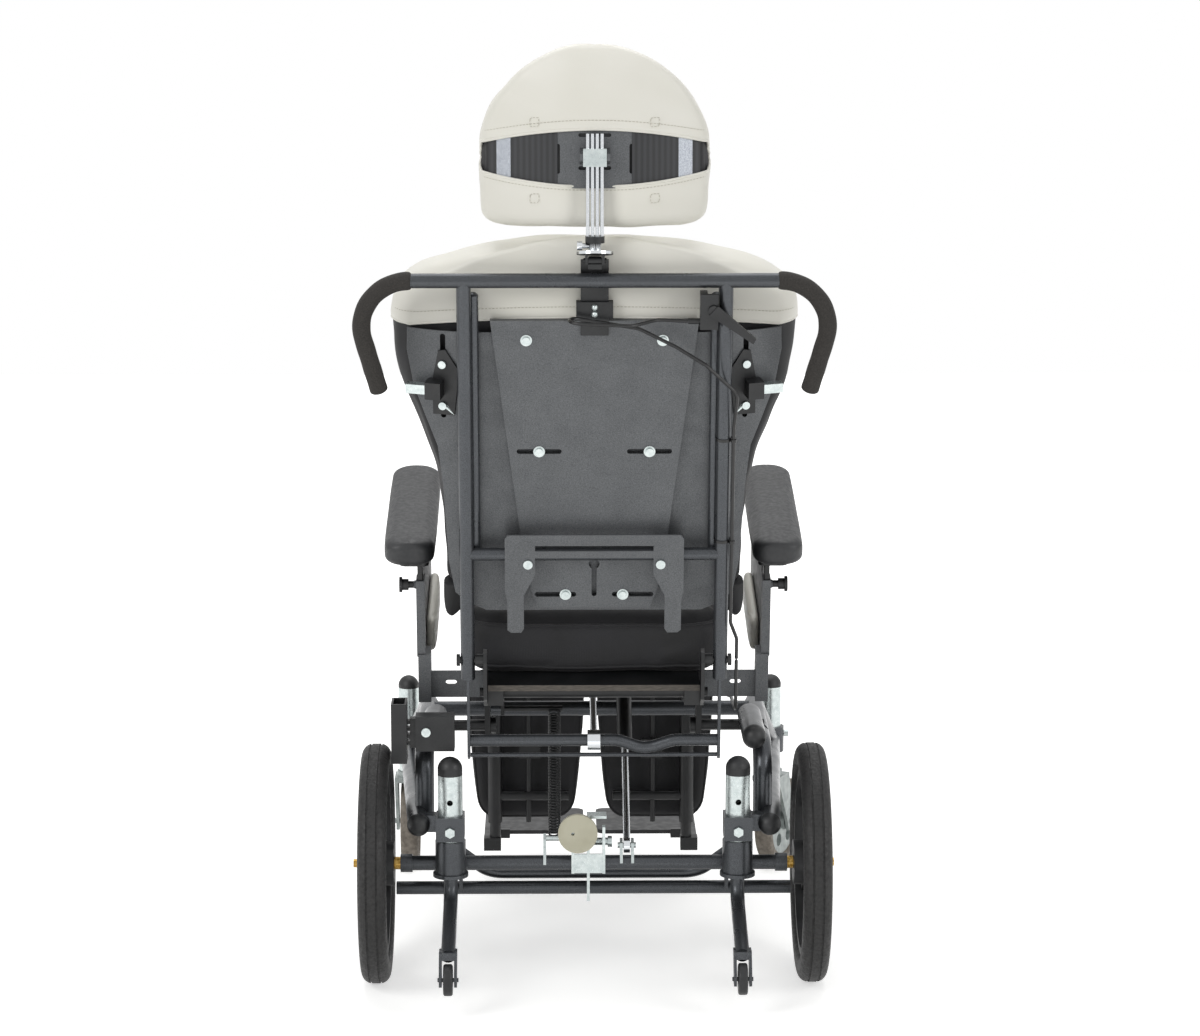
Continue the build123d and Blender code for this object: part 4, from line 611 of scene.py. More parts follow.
# Bonded polyester thread, a shade darker than the cover
THREAD = surface_finish("cream_thread", "c2beb1", 0.6, tint=(1.0, 2, "b6b2a5", "cbc7ba"))


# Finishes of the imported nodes


def paint(material, *names):
    """Give whole nodes one finish."""
    for name in names:
        slots = frame["nodes"][name].data.materials
        slots.clear()
        slots.append(material)


def face_centres(name):
    """The middle of each face of a node, in metres."""
    faces = frame["nodes"][name].data.polygons
    centre = np.zeros(len(faces) * 3, np.float32)
    faces.foreach_get("center", centre)
    return centre.reshape(-1, 3)


def paint_faces(material, name, chosen):
    """Give the chosen faces of a node another finish."""
    mesh = frame["nodes"][name].data
    mesh.materials.append(material)
    index = np.zeros(len(mesh.polygons), np.int32)
    mesh.polygons.foreach_get("material_index", index)
    index[chosen] = len(mesh.materials) - 1
    mesh.polygons.foreach_set("material_index", index)


def paint_area(material, name, place, low, high):
    """Give the faces of a node inside a box of a body's frame, in millimetres, another finish."""
    origin, pitch = place
    local = turned(face_centres(name) / MM - origin, -pitch)
    paint_faces(material, name, np.all((local > low) & (local < high), axis=1))


def paint_round(material, name, joint, radius):
    """Give the faces of a node within a radius of a joint's axis, in millimetres, another finish."""
    away = np.cross(face_centres(name) - joints[joint]["pos_m"], joints[joint]["axis"])
    paint_faces(material, name, np.linalg.norm(away, axis=1) < radius * MM)


def sides(*names):
    """The names of the left and right nodes of each pair."""
    return [f"{name}_{side}" for name in names for side in ("left", "right")]


paint(COAT, "rear_axle_tube", "base_cross_tubes", "back_canes", "push_bar", "back_tubes")
paint(COAT, *sides("side_frame", "anti_tip_arm"))
paint(SHEET, "back_shell", "back_panel", "hook_bracket", "headrest_plate", "armrest_sockets")
paint(BLACK, "accessory_holder", "seat_frame", "back_hinges", "back_brackets", "headrest_post")
paint(BLACK, "release_lever", "tilt_strut_tube", "recline_strut_tube", *sides("leg_hanger"))
paint(ZINC, "height_posts", "tilt_anchor", "base_fasteners", "back_fasteners")
paint(ROD, "tilt_strut_rod", "recline_strut_rod", "headrest_joint")
paint(NUT, "wheel_axles")
paint(CASTER, *sides("caster_wheel"))
paint(FORK, *sides("caster_fork"))
paint(PLASTIC, "tube_end_caps", *sides("rear_wheel", "anti_tip_wheel", "armrest_plunger", "footplate"))
paint(SHEATH, "release_cable", "seat_cable")
paint(BOARD, "seat_plate")
paint(TYRE, *sides("rear_tyre"))

# Boxes round the faces of a node that have a finish of their own, in its body's frame
plate_top = (-150, -90, 101.0), (150, 353, 102.0)
stop_disc = (-52, -24.6, 188), (6, -16.7, 248)
bar_x, bar_y, bar_z = (233, 264), (5, 45), (388, 408)  # plated ends of the lateral support bars
screw_x, screw_y, screw_heights = 207, (15, 26.9), (371, 431)  # screws of the lateral brackets
screw_wide, screw_high = 8, 7
clamp_screws = (-6, -2, 500), (6, 6.4, 530)
head_block = (-18, -20, -39), (18, -5, -13)
head_disc = (-30, -40, 580), (30, 30, 603)
head_collar = (-14, -30, 611), (14, 20, 625)
caster_hub_r = 51.0

paint_area(BLACK, "seat_plate", SEAT, *plate_top)
paint_area(NYLON, "tilt_anchor", BASE, *stop_disc)
for side in (-1, 1):
    near, far = sorted((side * bar_x[0], side * bar_x[1]))
    paint_area(ZINC, "back_brackets", BACK, (near, bar_y[0], bar_z[0]), (far, bar_y[1], bar_z[1]))
for x in (-screw_x, screw_x):
    for z in screw_heights:
        low = x - screw_wide, screw_y[0], z - screw_high
        high = x + screw_wide, screw_y[1], z + screw_high
        paint_area(ZINC, "back_brackets", BACK, low, high)
paint_area(ZINC, "back_brackets", BACK, *clamp_screws)
paint_area(ZINC, "headrest_joint", HEAD, *head_block)
paint_area(BLACK, "headrest_joint", BACK, *head_disc)
paint_area(BLACK, "headrest_joint", BACK, *head_collar)
for letter, word in (("l", "left"), ("r", "right")):
    paint_round(FORK, "caster_wheel_" + word, f"caster_{letter}_roll", caster_hub_r)


# Soft and moulded pieces


def finish_piece(made, body, nodes=(), material=None, soft_edges=1):
    """Give a piece its finish, its subdivision and its body, and hide the nodes that it stands for."""
    if material:
        made.data.materials.append(material)
    if soft_edges:
        smoother = made.modifiers.new("smooth", "SUBSURF")
        smoother.levels = smoother.render_levels = soft_edges
    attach(made, body)
    if nodes:
        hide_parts(*nodes)
    return made


def moulded(name, grid, material):
    """One part of a piece that is joined later, with its own finish."""
    made = surface(name, grid)
    made.data.materials.append(material)
    return made


bead_step = 4.0  # spacing of the points along hems and welts
gather = np.array((0.45, 0.8, 0.97))[:, None, None]  # how far each row of a shut end is drawn in


def cover_over(name, grid, row, col, lift, thick, shut=False):
    """Cover laid over a padded grid: sampled rows and columns, lifted and thickened by millimetres.

    With shut, rows are added that draw the last one together to its middle, raised by the lift.
    """
    skin = sampled(grid, row, col) + sampled(outward(grid), row, col) * (lift * MM)
    if shut:
        away = skin[-1].mean(0) - skin[-4].mean(0)
        middle = skin[-1].mean(0) + lift * MM * away / np.linalg.norm(away)
        skin = np.concatenate((skin, skin[-1] * (1 - gather) + middle * gather))
    made = surface(name, skin, loops=False)
    shell = made.modifiers.new("thickness", "SOLIDIFY")
    shell.thickness, shell.offset = thick * MM, 1.0
    return made, skin


def bead_round(name, path, radius, body, material):
    """Hem or welt of a radius in millimetres round a closed path in metres."""
    path = np.concatenate((path, path[:2]))
    made = surface(name, tube_grid(path, radius * MM, 10), caps=False)
    return finish_piece(made, body, material=material, soft_edges=0)


def thread_along(name, path, lift, body):
    """Stitches along a path in metres, raised to the rear by millimetres."""
    points, faces = stitch_line(path / MM, np.array((0, -lift, 0)))
    return finish_piece(new_mesh(name, points * MM, faces), body, material=THREAD, soft_edges=0)


def along_outline(keys, count):
    """Rows spread evenly along an outline of (height, half width) keys: (heights, half widths)."""
    keys = np.asarray(keys, float)
    run = np.concatenate(([0.0], np.cumsum(np.linalg.norm(np.diff(keys, axis=0), axis=1))))
    at = np.linspace(0, run[-1], count)
    return tuple(smooth(np.stack((run, keys[:, k]), -1), at) for k in (0, 1))


# Back cushion: sizes in millimetres over heights in the back's frame
back_outline = (
    (86, 190), (100, 208), (180, 213), (270, 226), (345, 251), (410, 274), (470, 278),
    (515, 275), (545, 250), (568, 212), (586, 162), (600, 100), (608, 50),
)
back_thick = (
    (86, 30), (100, 62), (180, 70), (470, 74), (500, 82), (530, 77), (568, 66), (600, 46), (608, 26),
)
back_rear = ((86, 41), (100, 27.5), (480, 27.5), (492, 24.5), (570, 24.5), (600, 28), (608, 35))
back_corner, corner_share = 26.0, 0.45  # corner radius of a pad, and its most as a share of the thickness
back_bow = 1300.0  # radius of the hollow of the back
back_swell, back_fold = 6.0, 1.6  # how far the padding swells, and the height of its folds
back_folds = ((85, (0.9, 0.1, 0.5), 0.4), (120, (-0.5, 0.2, 0.8), 1.9), (60, (0.2, 0.1, 1.0), 3.0))
cap_hem_side, cap_hem_middle, cap_hem_drop = 482.0, 500.0, 10.0  # lower edge of the cap; it drops in front
cap_lift, cap_t, cap_hem_r, cap_stitch = 1.2, 1.6, 1.9, 2.4
panel_low, panel_high = 100.0, 466.0  # the white front panel
panel_lift, panel_t, panel_welt_r = 0.6, 1.4, 2.2
back_rows, cap_rows, panel_rows = 76, 34, 60
row_short = 0.2  # covers end this share of a row before the end of the padding


def back_cushion():
    """Back cushion: black woven sleeve with a white cap over its top and a white front panel.

    Its rows are rounded rectangles whose half width follows the outline, bowed by x squared / (2 bow).
    """
    across, deep, turn = 46, 6, 6
    stations = loop_stations(across, deep, turn)
    height, half = along_outline(back_outline, back_rows)
    thick, rear = smooth(back_thick, height), smooth(back_rear, height)
    x, y = pad_loops(stations, half, thick / 2, np.minimum(back_corner, thick * corner_share)[:, None])
    y = y + (rear + thick / 2)[:, None] + x * x / (2 * back_bow)
    behind = (stations[1] < rear_side) & (np.abs(stations[0]) < rear_reach)
    grid = inflated(grid_at(BACK, x, y, height[:, None]), behind[None, :], soft_pressure, back_swell)
    folded = ripple(grid, outward(grid), back_fold, back_folds)
    grid = np.where(behind[None, :, None], grid, folded)
    core = surface("back_sleeve", grid)
    finish_piece(core, "back", ["back_cushion"], FABRIC)

    rows = np.arange(len(height))
    round_all = np.arange(len(stations[0]) + 1)
    front = np.clip((stations[1] + 1) / 2, 0, 1)
    bow = 1 - np.clip(np.abs(stations[0]), 0, 1) ** 2
    hem = cap_hem_side + (cap_hem_middle - cap_hem_side) * bow * (1 - front) - cap_hem_drop * front
    start = np.interp(hem, height, rows)[round_all % len(hem)]
    steps = np.linspace(0, 1, cap_rows)[:, None]
    row = start * (1 - steps) + (len(height) - 1 - row_short) * steps
    col = np.broadcast_to(round_all * 1.0, row.shape)
    cap, skin = cover_over("back_cap", grid, row, col, cap_lift, cap_t, shut=True)
    finish_piece(cap, "back", material=WHITE)
    bead_round("back_cap_hem", spaced(skin[0][:-1], bead_step * MM), cap_hem_r, "back", WHITE)
    thread_along("back_cap_stitches", spaced(skin[2], bead_step * MM), cap_stitch, "back")

    inset = np.arange(-turn * 0.5, across + turn * 0.5 + 0.1, 0.5)
    low, high = np.interp((panel_low, panel_high), height, rows)
    row, col = np.meshgrid(np.linspace(low, high, panel_rows), inset, indexing="ij")
    panel, skin = cover_over("back_front_panel", grid, row, col, panel_lift, panel_t)
    finish_piece(panel, "back", material=WHITE)
    rim = np.concatenate((skin[0], skin[1:, -1], skin[-1, -2::-1], skin[-2:0:-1, 0]))
    bead_round("back_front_welt", spaced(rim, bead_step * MM), panel_welt_r, "back", WHITE)


# Loose corners of the sleeve: sizes by the share of the way down
lobe_top, lobe_drop = 98.0, 54.0
lobe_x, lobe_out = 188.0, 12.0  # place at the top, and how far the tip stands out
lobe_y, lobe_back = 62.0, 6.0
lobe_half = ((0, 23.0), (0.5, 17.0), (0.85, 10.0), (1, 2.0))
lobe_thick = ((0, 44.0), (0.5, 32.0), (0.85, 18.0), (1, 3.0))
lobe_round = 0.4  # corner radius as a share of the thickness
lobe_wave, lobe_wave_run = 2.0, 9.0


def cover_corner(side, word):
    """Loose corner of the black sleeve that hangs beside the seat cushion, as a tapering soft lobe.

    Its rows are rounded rectangles that shrink downwards, lifted by a sine of x that grows to the tip.
    """
    share = np.linspace(0, 1, 16)
    half, thick = smooth(lobe_half, share), smooth(lobe_thick, share)
    x, y = pad_loops(loop_stations(10, 6, 5), half, thick / 2, (thick * lobe_round)[:, None])
    share = share[:, None]
    x = x + lobe_x + lobe_out * share
    z = lobe_top - lobe_drop * share + lobe_wave * np.sin(x / lobe_wave_run) * share
    made = surface(f"cover_corner_{word}", grid_at(BACK, side * x, y + lobe_y - lobe_back * share, z))
    finish_piece(made, "back", material=FABRIC)


# Head pad: sizes in millimetres over heights in its own frame
head_outline = (
    (-118, 118), (-114, 137), (-104, 148), (-80, 151), (-4, 150), (21, 144), (46, 131),
    (66, 116), (86, 95), (102, 73), (113, 46), (119, 20), (120, 6),
)
head_thick = (
    (-118, 16), (-114, 36), (-104, 47), (-80, 54), (46, 54),
    (66, 50), (86, 44), (102, 34), (114, 22), (120, 10),
)
head_rear = (
    (-118, 16), (-114, 7.5), (-104, 2.5), (-80, 0), (46, 0),
    (66, 1), (86, 3), (102, 8), (114, 14), (120, 20),
)
head_corner_rear, head_corner_front = 8.0, 24.0
head_bow = 265.0  # radius of the head pad's hollow
head_half = 151.0
head_swell, head_fold = 6.0, 1.3
head_folds = ((70, (1.0, 0.0, 0.35), 0.7), (110, (-0.6, 0.0, 0.8), 2.2), (50, (0.3, 0.0, 1.0), 0.2))
upper_hem, upper_hem_end = 11.0, -12.0  # edge of the dome cover behind, at the middle and at the sides
lower_hem, lower_hem_end = -66.0, -46.0  # edge of the lower cover
hem_front, hem_apart = -30.0, 1.0  # where the two covers meet in front
hem_swing = 0.7  # power of the swing of the hems from rear to front
head_rows, head_cover_rows = 60, 30
head_lift, head_t, head_hem_r, head_hem_out, head_stitch, head_step = 1.0, 1.8, 1.9, 1.0, 2.6, 3.0
plate_recess, cover_recess = 3.4, 0.4  # the core stands back behind the metal plate and under the covers
plate_margin = 3.0  # the recess for the plate runs this far under the hems
plate_curve = 268.0  # rear radius of the metal plate
strip_tuck = 5.0  # the bands on the plate run this far under the hems
square_half, square_step, square_lift, square_stitch = 6.0, 2.0, 5.4, 0.3  # on the raised cover
rod_groove, groove_half, groove_top = 6.0, 20.0, -42.0  # hollow in the lower cover that clears the rods
groove_fade, groove_run = 26.0, 12.0  # it fades out over these widths aside and above


def hem_height(middle, end, reach):
    """Height of a hem behind: from its middle to its end by the square of the reach from 0 to 1."""
    return middle + (end - middle) * reach**2


def head_pad():
    """Head pad: a black core and two white covers with a lens-shaped opening behind.

    Its rows are rounded rectangles bowed on a circle. The groove behind fades out as a half cosine.
    """
    stations = loop_stations(40, 5, 6)
    height, half = along_outline(head_outline, head_rows)
    thick, rear = smooth(head_thick, height), smooth(head_rear, height)
    corner = np.where(stations[1] < 0, head_corner_rear, head_corner_front)[None, :]
    x, y = pad_loops(stations, half, thick / 2, np.minimum(corner, thick[:, None] * corner_share))
    y = y + (rear + thick / 2)[:, None] + head_bow - np.sqrt(head_bow**2 - x * x)
    behind = (stations[1] < rear_side)[None, :]
    near = 0.5 + 0.5 * np.cos(np.pi * np.clip((np.abs(x) - groove_half) / groove_fade, 0, 1))
    below = np.clip((groove_top - height) / groove_run, 0, 1)[:, None]
    y = y + np.where(behind, rod_groove * near * below, 0.0)
    grid = inflated(grid_at(HEAD, x, y, height[:, None]), behind, soft_pressure, head_swell)
    soft = ripple(grid, outward(grid), head_fold, head_folds)

    front = np.clip((stations[1] + 1) / 2, 0, 1) ** hem_swing
    reach = np.clip(np.abs(x[len(height) // 2]) / head_half, 0, 1)
    upper = hem_height(upper_hem, upper_hem_end, reach) * (1 - front) + (hem_front + hem_apart) * front
    lower = hem_height(lower_hem, lower_hem_end, reach) * (1 - front) + (hem_front - hem_apart) * front
    under_upper = height[:, None] < upper + plate_margin
    over_lower = height[:, None] > lower - plate_margin
    recess = np.where(under_upper & over_lower & behind, plate_recess, cover_recess)[..., None] * MM
    core = surface("head_core", soft - outward(soft) * recess)
    finish_piece(core, "head", ["headrest_pad"], FABRIC, soft_edges=0)

    rows = np.arange(len(height))
    round_all = np.arange(len(stations[0]) + 1)
    steps = np.linspace(0, 1, head_cover_rows)[:, None]
    spans = (("head_dome_cover", upper, rows[-1] - row_short), ("head_lower_cover", lower, row_short))
    for name, hem, last_row in spans:
        start = np.interp(hem, height, rows)[round_all % len(hem)]
        row = start * (1 - steps) + last_row * steps
        col = np.broadcast_to(round_all * 1.0, row.shape)
        cover, skin = cover_over(name, soft, row, col, head_lift, head_t, shut=True)
        finish_piece(cover, "head", material=WHITE)
        edge = skin[0][:-1] + np.array((0, -head_hem_out, 0)) * MM
        bead_round(name + "_hem", spaced(edge, head_step * MM), head_hem_r, "head", WHITE)
        seam = skin[2][:-1][behind[0]]
        thread_along(name + "_stitches", spaced(seam, head_step * MM), head_stitch, "head")


def head_strip(name, x_from, x_to, lift, material):
    """Band on the metal plate behind the head, between the two hems, as high as the opening there."""
    x = np.linspace(x_from, x_to, 22)[None, :]
    top = hem_height(upper_hem, upper_hem_end, x / head_half) + strip_tuck
    low = hem_height(lower_hem, lower_hem_end, x / head_half) - strip_tuck
    z = low + (top - low) * np.linspace(0, 1, 12)[:, None]
    y = plate_curve - np.sqrt(plate_curve**2 - x * x) - lift
    made = surface(name, grid_at(HEAD, x, y, z), loops=False)
    finish_piece(made, "head", material=material, soft_edges=0)


def head_square(name, x, z):
    """A sewn square of about 12 mm on the white cover."""
    corner = np.array(((-1, -1), (1, -1), (1, 1), (-1, 1), (-1, -1))) * square_half + (x, z)
    line = spaced(np.stack((corner[:, 0], 0 * corner[:, 0], corner[:, 1]), -1), square_step)
    line[:, 1] = head_bow - np.sqrt(head_bow**2 - line[:, 0] ** 2) - square_lift
    thread_along(name, world(line, HEAD), square_stitch, "head")


seat_half, seat_rear, seat_front = 186.0, -58.0, 368.0
seat_low, seat_high, seat_crown = 101.8, 185.0, 12.0
seat_edge, seat_corner, seat_swell, seat_fold = 24.0, 34.0, 5.0, 1.2
seat_folds = ((140, (1.0, 0.3, 0.2), 0.3), (90, (0.4, 1.0, 0.5), 1.1))
seat_welt_in, seat_welt_r, seat_welt_out = 12.0, 2.0, 0.4


def seat_cushion():
    """Seat cushion: a rounded box in black fabric with a welt round its top and bottom edges.

    The top is crowned by (1 - (x / half) squared) times (1 - (y / half) squared).
    """
    tall, deep, middle = seat_high - seat_low, (seat_front - seat_rear) / 2, (seat_front + seat_rear) / 2
    x, y, rise, share = slab(tall, seat_edge, 9.0, loop_stations(40, 44, 7), (seat_half, deep), seat_corner)
    crown = seat_crown * (rise / tall)[:, None] ** 2 * (1 - (x / seat_half) ** 2) * (1 - (y / deep) ** 2)
    grid = grid_at(SEAT, x, y + middle, rise[:, None] + seat_low + crown)
    grid = inflated(grid, (rise < base_held)[:, None], soft_pressure, seat_swell)
    grid = ripple(grid, outward(grid), seat_fold, seat_folds)
    made = surface("seat_pad", grid)
    finish_piece(made, "seat", ["seat_cushion"], FABRIC)
    full = share > full_share
    top = np.flatnonzero((rise > tall - seat_welt_in) & full)[0]
    bottom = np.flatnonzero((rise < seat_welt_in) & full)[-1]
    for name, row in (("seat_welt_top", top), ("seat_welt_low", bottom)):
        ring = grid[row] + outward(grid)[row] * (seat_welt_out * MM)
        ring = spaced(np.concatenate((ring, ring[:1])), bead_step * MM)[:-1]
        bead_round(name, ring, seat_welt_r, "seat", FABRIC)


calf_inner, calf_top, calf_low = 8.0, -140.0, -372.0
calf_half_top, calf_half_low = 92.0, 74.0
calf_back, calf_t, calf_edge, calf_corner, calf_swell = 24.3, 51.0, 16.0, 30.0, 5.0
calf_welt_in, calf_welt_r = 8.0, 1.8


def calf_pad(side, word):
    """Calf pad: a rounded cushion in black fabric, narrowing evenly downwards, welted near its rear edge."""
    tall = calf_top - calf_low
    half = calf_half_top, tall / 2
    x, z, depth, share = slab(calf_t, calf_edge, 7.0, loop_stations(18, 22, 6), half, calf_corner)
    taper = (z + tall / 2) / tall
    x = x * (calf_half_low + (calf_half_top - calf_half_low) * taper) / calf_half_top
    x = side * (x + calf_inner + calf_half_top)
    grid = grid_at(LEG, x, depth[:, None] + calf_back, z + (calf_top + calf_low) / 2)
    grid = inflated(grid, (depth < base_held)[:, None], soft_pressure, calf_swell)
    body = f"leg_{word[0]}"
    made = surface(f"calf_cushion_{word}", grid)
    finish_piece(made, body, [f"calf_pad_{word}"], FABRIC)
    rim = grid[np.flatnonzero((depth < calf_welt_in) & (share > full_share))[-1]]
    ring = spaced(np.concatenate((rim, rim[:1])), bead_step * MM)[:-1]
    bead_round(f"calf_welt_{word}", ring, calf_welt_r, body, FABRIC)


guard_rear, guard_front, guard_low, guard_high = -2.7, 285.0, 70.0, 235.0
guard_x, guard_t, guard_edge = 240.1, 9.8, 2.0
guard_corner_front, guard_corner_rear = 30.0, 5.0
hip_pad_half, hip_pad_corner = (100.0, 25.0), 12.0  # white pad on the guard's inner face
hip_pad_x, hip_pad_y, hip_pad_z = 239.7, 140.15, 122.0
hip_pad_t, hip_pad_edge, hip_pad_swell = 12.5, 5.5, 2.0


def side_guards():
    """Black guard panels with the white pads on their inner faces, both sides as one piece."""
    parts = []
    stations = loop_stations(30, 18, 6)
    guard_half = (guard_front - guard_rear) / 2, (guard_high - guard_low) / 2
    guard_y, guard_z = (guard_front + guard_rear) / 2, (guard_high + guard_low) / 2
    corner = np.where(stations[0] > 0, guard_corner_front, guard_corner_rear)
    for side in (-1, 1):
        y, z, depth, _ = slab(guard_t, guard_edge, 2.0, stations, guard_half, corner)
        x = side * (depth[:, None] + guard_x)
        parts.append(moulded("guard", grid_at(SEAT, x, y + guard_y, z + guard_z), PLASTIC))
        y, z, depth, _ = slab(hip_pad_t, hip_pad_edge, 2.0, stations, hip_pad_half, hip_pad_corner)
        x = side * (hip_pad_x - depth[:, None])
        grid = grid_at(SEAT, x, y + hip_pad_y, z + hip_pad_z)
        grid = inflated(grid, (depth < base_held)[:, None], soft_pressure, hip_pad_swell)
        parts.append(moulded("pad", grid, WHITE))
    made = joined("side_guards", parts)
    finish_piece(made, "seat", ["side_panels"])


arm_x, arm_y, arm_low, arm_high = 259.0, 104.0, 268.4, 305.6
arm_half, arm_corner, arm_edge = (35.0, 170.0), 24.0, 12.0
arm_drop, arm_flat = 3.0, 0.2  # the top falls to its sides, above this share of the height
arm_pressure, arm_swell = 2.0, 1.5
stem_x, stem_y, stem_low, stem_long = 245.0, -20.0, 114.0, 153.0
stem_half, stem_corner, stem_edge = (4.0, 11.0), 1.5, 1.2
arm_plate_x, arm_plate_y, arm_plate_low, arm_plate_t = 253.0, 13.0, 262.0, 6.0
arm_plate_half, arm_plate_corner, arm_plate_edge = (21.0, 57.0), 8.0, 1.0


def armrest(side, word):
    """Armrest: a moulded pad, its flat stem and the plate between them.

    The pad's top falls to its sides by the square of x over its half width.
    """
    tall = arm_high - arm_low
    x, y, depth, _ = slab(tall, arm_edge, 4.0, loop_stations(14, 44, 8), arm_half, arm_corner)
    rise = (depth / tall)[:, None]
    fall = arm_drop * rise * (x / arm_half[0]) ** 2 * np.clip(rise - arm_flat, 0, 1)
    grid = grid_at(SEAT, side * (x + arm_x), y + arm_y, depth[:, None] + arm_low - fall)
    grid = inflated(grid, (depth < base_held)[:, None], arm_pressure, arm_swell)
    pad = moulded("pad", grid, SKIN)
    x, y, depth, _ = slab(stem_long, stem_edge, 6.0, loop_stations(4, 8, 3), stem_half, stem_corner)
    grid = grid_at(SEAT, side * (x + stem_x), y + stem_y, depth[:, None] + stem_low)
    stem = moulded("stem", grid, BLACK)
    stations = loop_stations(8, 14, 4)
    x, y, depth, _ = slab(arm_plate_t, arm_plate_edge, 2.0, stations, arm_plate_half, arm_plate_corner)
    grid = grid_at(SEAT, side * (x + arm_plate_x), y + arm_plate_y, depth[:, None] + arm_plate_low)
    made = joined(f"armrest_pad_{word}", [pad, stem, moulded("plate", grid, BLACK)])
    finish_piece(made, f"arm_{word[0]}", [f"armrest_{word}"])


grip_run, grip_bend = ((247.0, 0, 560.0), (336.0, 0, 560.0), (293.0, 0, 402.0)), 66.0
grip_r, grip_start_draw, grip_start_run = 12.6, 1.5, 1.5  # the sleeve draws in where it starts
grip_wave, grip_waves = 0.18, 40  # slight unevenness along the sleeve, as a sine
grip_over, grip_nose, grip_step = 4.0, 6.0, 3.0  # it runs past the bar and ends in a round nose
grip_tip = 0.02  # square of the share of the radius that is left at the tip


def push_grips():
    """Foam sleeves on both ends of the push bar: a circle of slowly varying radius along a bent path."""
    run = rounded_path(grip_run, grip_bend, grip_step)
    end = run[-1] + (run[-1] - run[-2]) / np.linalg.norm(run[-1] - run[-2]) * grip_over
    run = spaced(np.concatenate((run, end[None])), grip_step)
    share = np.linspace(0, 1, len(run))
    gone = np.arange(len(run)) * grip_step
    left = np.minimum(gone[::-1], grip_nose) / grip_nose
    draw = grip_start_draw * np.exp(-gone / grip_start_run)
    radius = grip_r + grip_wave * np.sin(share * grip_waves) - draw
    radius = radius * np.sqrt(np.clip(1 - (1 - left) ** 2, grip_tip, 1))
    sleeve = tube_grid(run, radius, 20)
    both = [moulded("grip", world(sleeve * (side, 1, 1), BACK), FOAM) for side in (-1, 1)]
    made = joined("foam_grips", both)
    finish_piece(made, "back", ["push_grips"])


spring_low, spring_high = np.array((14.0, 207.0)), np.array((172.0, 350.0))  # its pins as (y, z)
spring_x, spring_r, spring_wire_r, spring_turns = -56.0, 8.0, 1.2, 44
spring_points = 16  # points to a turn of the wire


def tilt_spring():
    """Coil spring: a helix of thin wire between the pin on the axle tube and the pin on the seat."""
    t = np.linspace(0, 1, spring_turns * spring_points + 1)
    way = (spring_high - spring_low) / np.linalg.norm(spring_high - spring_low)
    angle = 2 * np.pi * spring_turns * t
    centre = spring_low + (spring_high - spring_low) * t[:, None]
    out = np.stack((np.cos(angle), -way[1] * np.sin(angle), way[0] * np.sin(angle)), -1)
    path = np.concatenate((np.full((len(t), 1), spring_x), centre), 1) + spring_r * out
    along = np.gradient(path, axis=0)
    along /= np.linalg.norm(along, axis=1, keepdims=True)
    up = np.cross(along, out)
    turn = np.linspace(0, 2 * np.pi, 8, endpoint=False)[:, None]
    ring = out[:, None] * np.cos(turn) + up[:, None] * np.sin(turn)
    made = moulded("spring_coil", world(path[:, None] + spring_wire_r * ring, BASE), BLACK)
    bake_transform(made)
    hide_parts("tilt_spring")


elastic_x, elastic_lift = (50, 143), 0.7  # ribbed elastic on the metal plate
tape_x, tape_lift = (113, 132), 1.1  # silver tape on the elastic
square_x, square_heights = 81, (20, -82)

back_cushion()
head_pad()
for sign, word in ((-1, "left"), (1, "right")):
    head_strip("head_elastic_" + word, sign * elastic_x[0], sign * elastic_x[1], elastic_lift, ELASTIC)
    head_strip("head_tape_" + word, sign * tape_x[0], sign * tape_x[1], tape_lift, TAPE)
    for z in square_heights:
        head_square(f"head_square_{word}_{z + 100}", sign * square_x, z)
seat_cushion()
side_guards()
push_grips()
tilt_spring()
for sign, word in ((-1, "left"), (1, "right")):
    calf_pad(sign, word)
    armrest(sign, word)
    cover_corner(sign, word)


# Camera, light and floor

eye_place, eye_down, eye_aside, eye_lens = (-55.0, -5000.0, 1570.0), 10.22, 0.73, 108.85
lamp_aim = (0.0, 0.0, 0.65)
lamps = (  # name, place in metres, size in metres and power in watts
    ("soft_left", (-2.6, -2.8, 2.6), 1.8, 58),
    ("soft_right", (2.8, -2.2, 2.0), 1.6, 32),
    ("soft_top", (0.0, 0.8, 3.4), 2.4, 40),
)
fill_light, background = 0.4, 1.0  # strength of the world on the chair, and as it is seen
floor_reach = 6.0
glow_near, glow_far, glow_low, glow_high = 0.3, 1.8, 0.5, 1.0  # the floor pales to white with distance


def lamp(name, place, size, power):
    """Square soft box at a place in metres, turned to face the aim."""
    light = bpy.data.lights.new(name, "AREA")
    light.size, light.energy = size, power
    made = bpy.data.objects.new(name, light)
    made.location = place
    way = np.asarray(lamp_aim) - np.asarray(place)
    flat = np.hypot(way[0], way[1])
    made.rotation_euler = (np.arctan2(flat, -way[2]), 0, np.arctan2(-way[0], way[1]))
    bpy.context.scene.collection.objects.link(made)


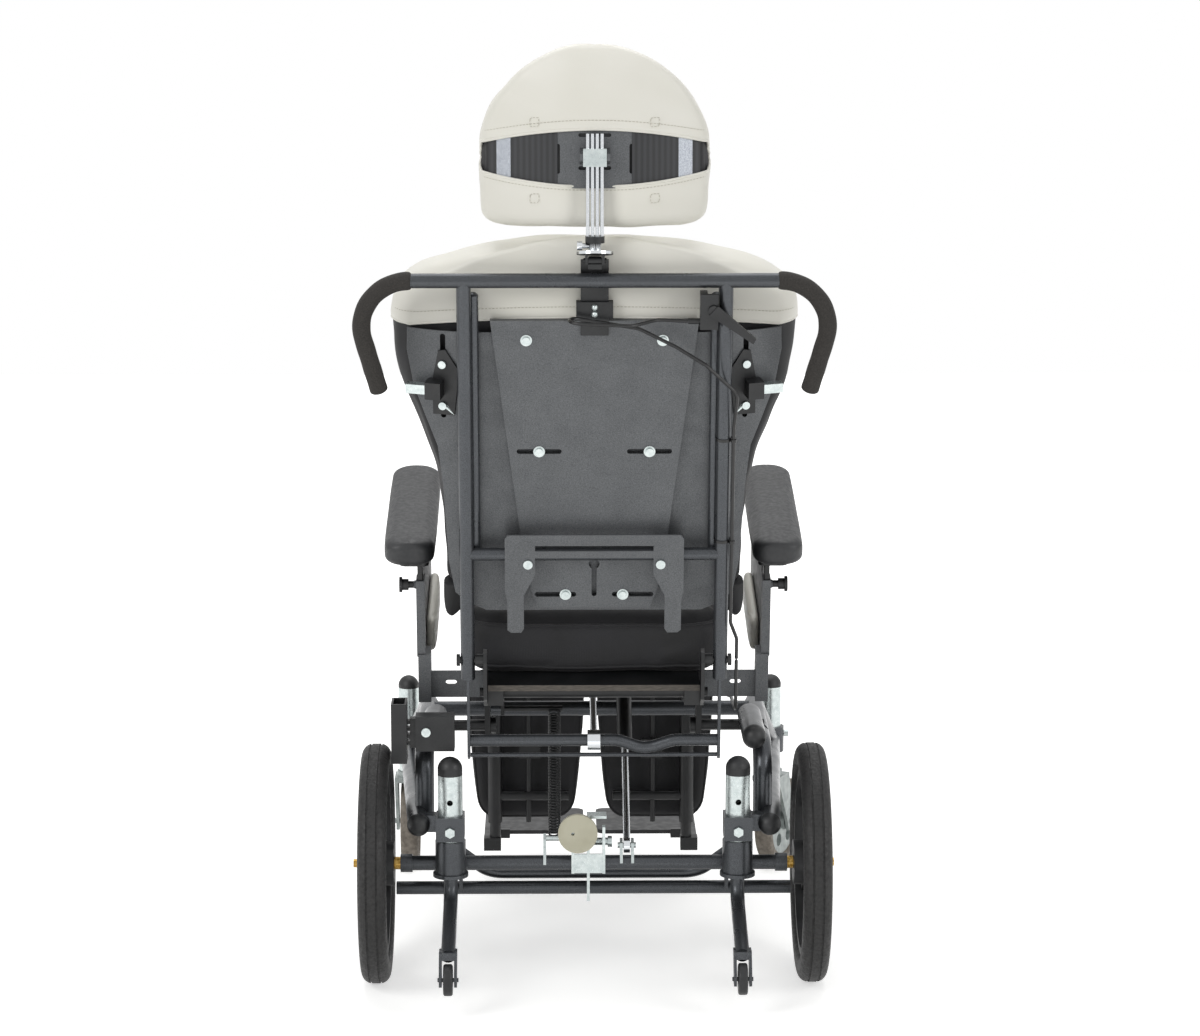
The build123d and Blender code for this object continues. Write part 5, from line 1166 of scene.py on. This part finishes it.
def background_rays(tree):
    """A value of 1 for camera, glossy and transmission rays, and 0 for the rays that light the chair."""
    path = add(tree, "ShaderNodeLightPath").outputs
    mirrored = ((0, path["Is Camera Ray"]), (1, path["Is Glossy Ray"]))
    seen = add(tree, "ShaderNodeMath", mirrored, operation="MAXIMUM")
    through = ((0, seen.outputs[0]), (1, path["Is Transmission Ray"]))
    return add(tree, "ShaderNodeMath", through, operation="MAXIMUM").outputs[0]


def pale_floor():
    """Pale floor whose own glow grows with the distance, and reaches only the rays that see it."""
    material = surface_finish("pale_floor", "f4f4f2", 0.8, Emission_Color=(1, 1, 1, 1))
    tree, place = material.node_tree, coordinates(material)["Object"]
    far = add(tree, "ShaderNodeVectorMath", ((0, place),), operation="LENGTH")
    spread = (
        ("Value", far.outputs["Value"]), ("From Min", glow_near), ("From Max", glow_far),
        ("To Min", glow_low), ("To Max", glow_high),
    )
    glow = add(tree, "ShaderNodeMapRange", spread).outputs[0]
    strength = add(tree, "ShaderNodeMath", ((0, glow), (1, background_rays(tree))), operation="MULTIPLY")
    glowing = tree.nodes["Principled BSDF"].inputs["Emission Strength"]
    tree.links.new(strength.outputs[0], glowing)
    return material


def studio():
    """Camera at the photograph's angle, soft boxes, a pale world and a pale floor."""
    scene = bpy.context.scene
    scene.view_settings.view_transform = "Standard"
    camera = bpy.data.cameras.new("camera")
    camera.sensor_width = 36.0
    camera.lens = eye_lens
    eye = bpy.data.objects.new("camera", camera)
    eye.location = world(eye_place, BASE).tolist()
    eye.rotation_euler = np.radians((90 - eye_down, 0, -eye_aside)).tolist()
    scene.collection.objects.link(eye)
    scene.camera = eye
    for name, place, size, power in lamps:
        lamp(name, place, size, power)
    if scene.world is None:
        scene.world = bpy.data.worlds.new("studio")
    scene.world.use_nodes = True
    tree = scene.world.node_tree
    levels = (("Value", background_rays(tree)), ("To Min", fill_light), ("To Max", background))
    strength = add(tree, "ShaderNodeMapRange", levels)
    back = tree.nodes["Background"]
    back.inputs["Color"].default_value = (1, 1, 1, 1)
    tree.links.new(strength.outputs[0], back.inputs["Strength"])
    corners = np.array(((-1, -1, 0), (1, -1, 0), (1, 1, 0), (-1, 1, 0))) * floor_reach
    floor = new_mesh("floor", corners, [[0, 1, 2, 3]])
    floor.data.materials.append(pale_floor())


studio()
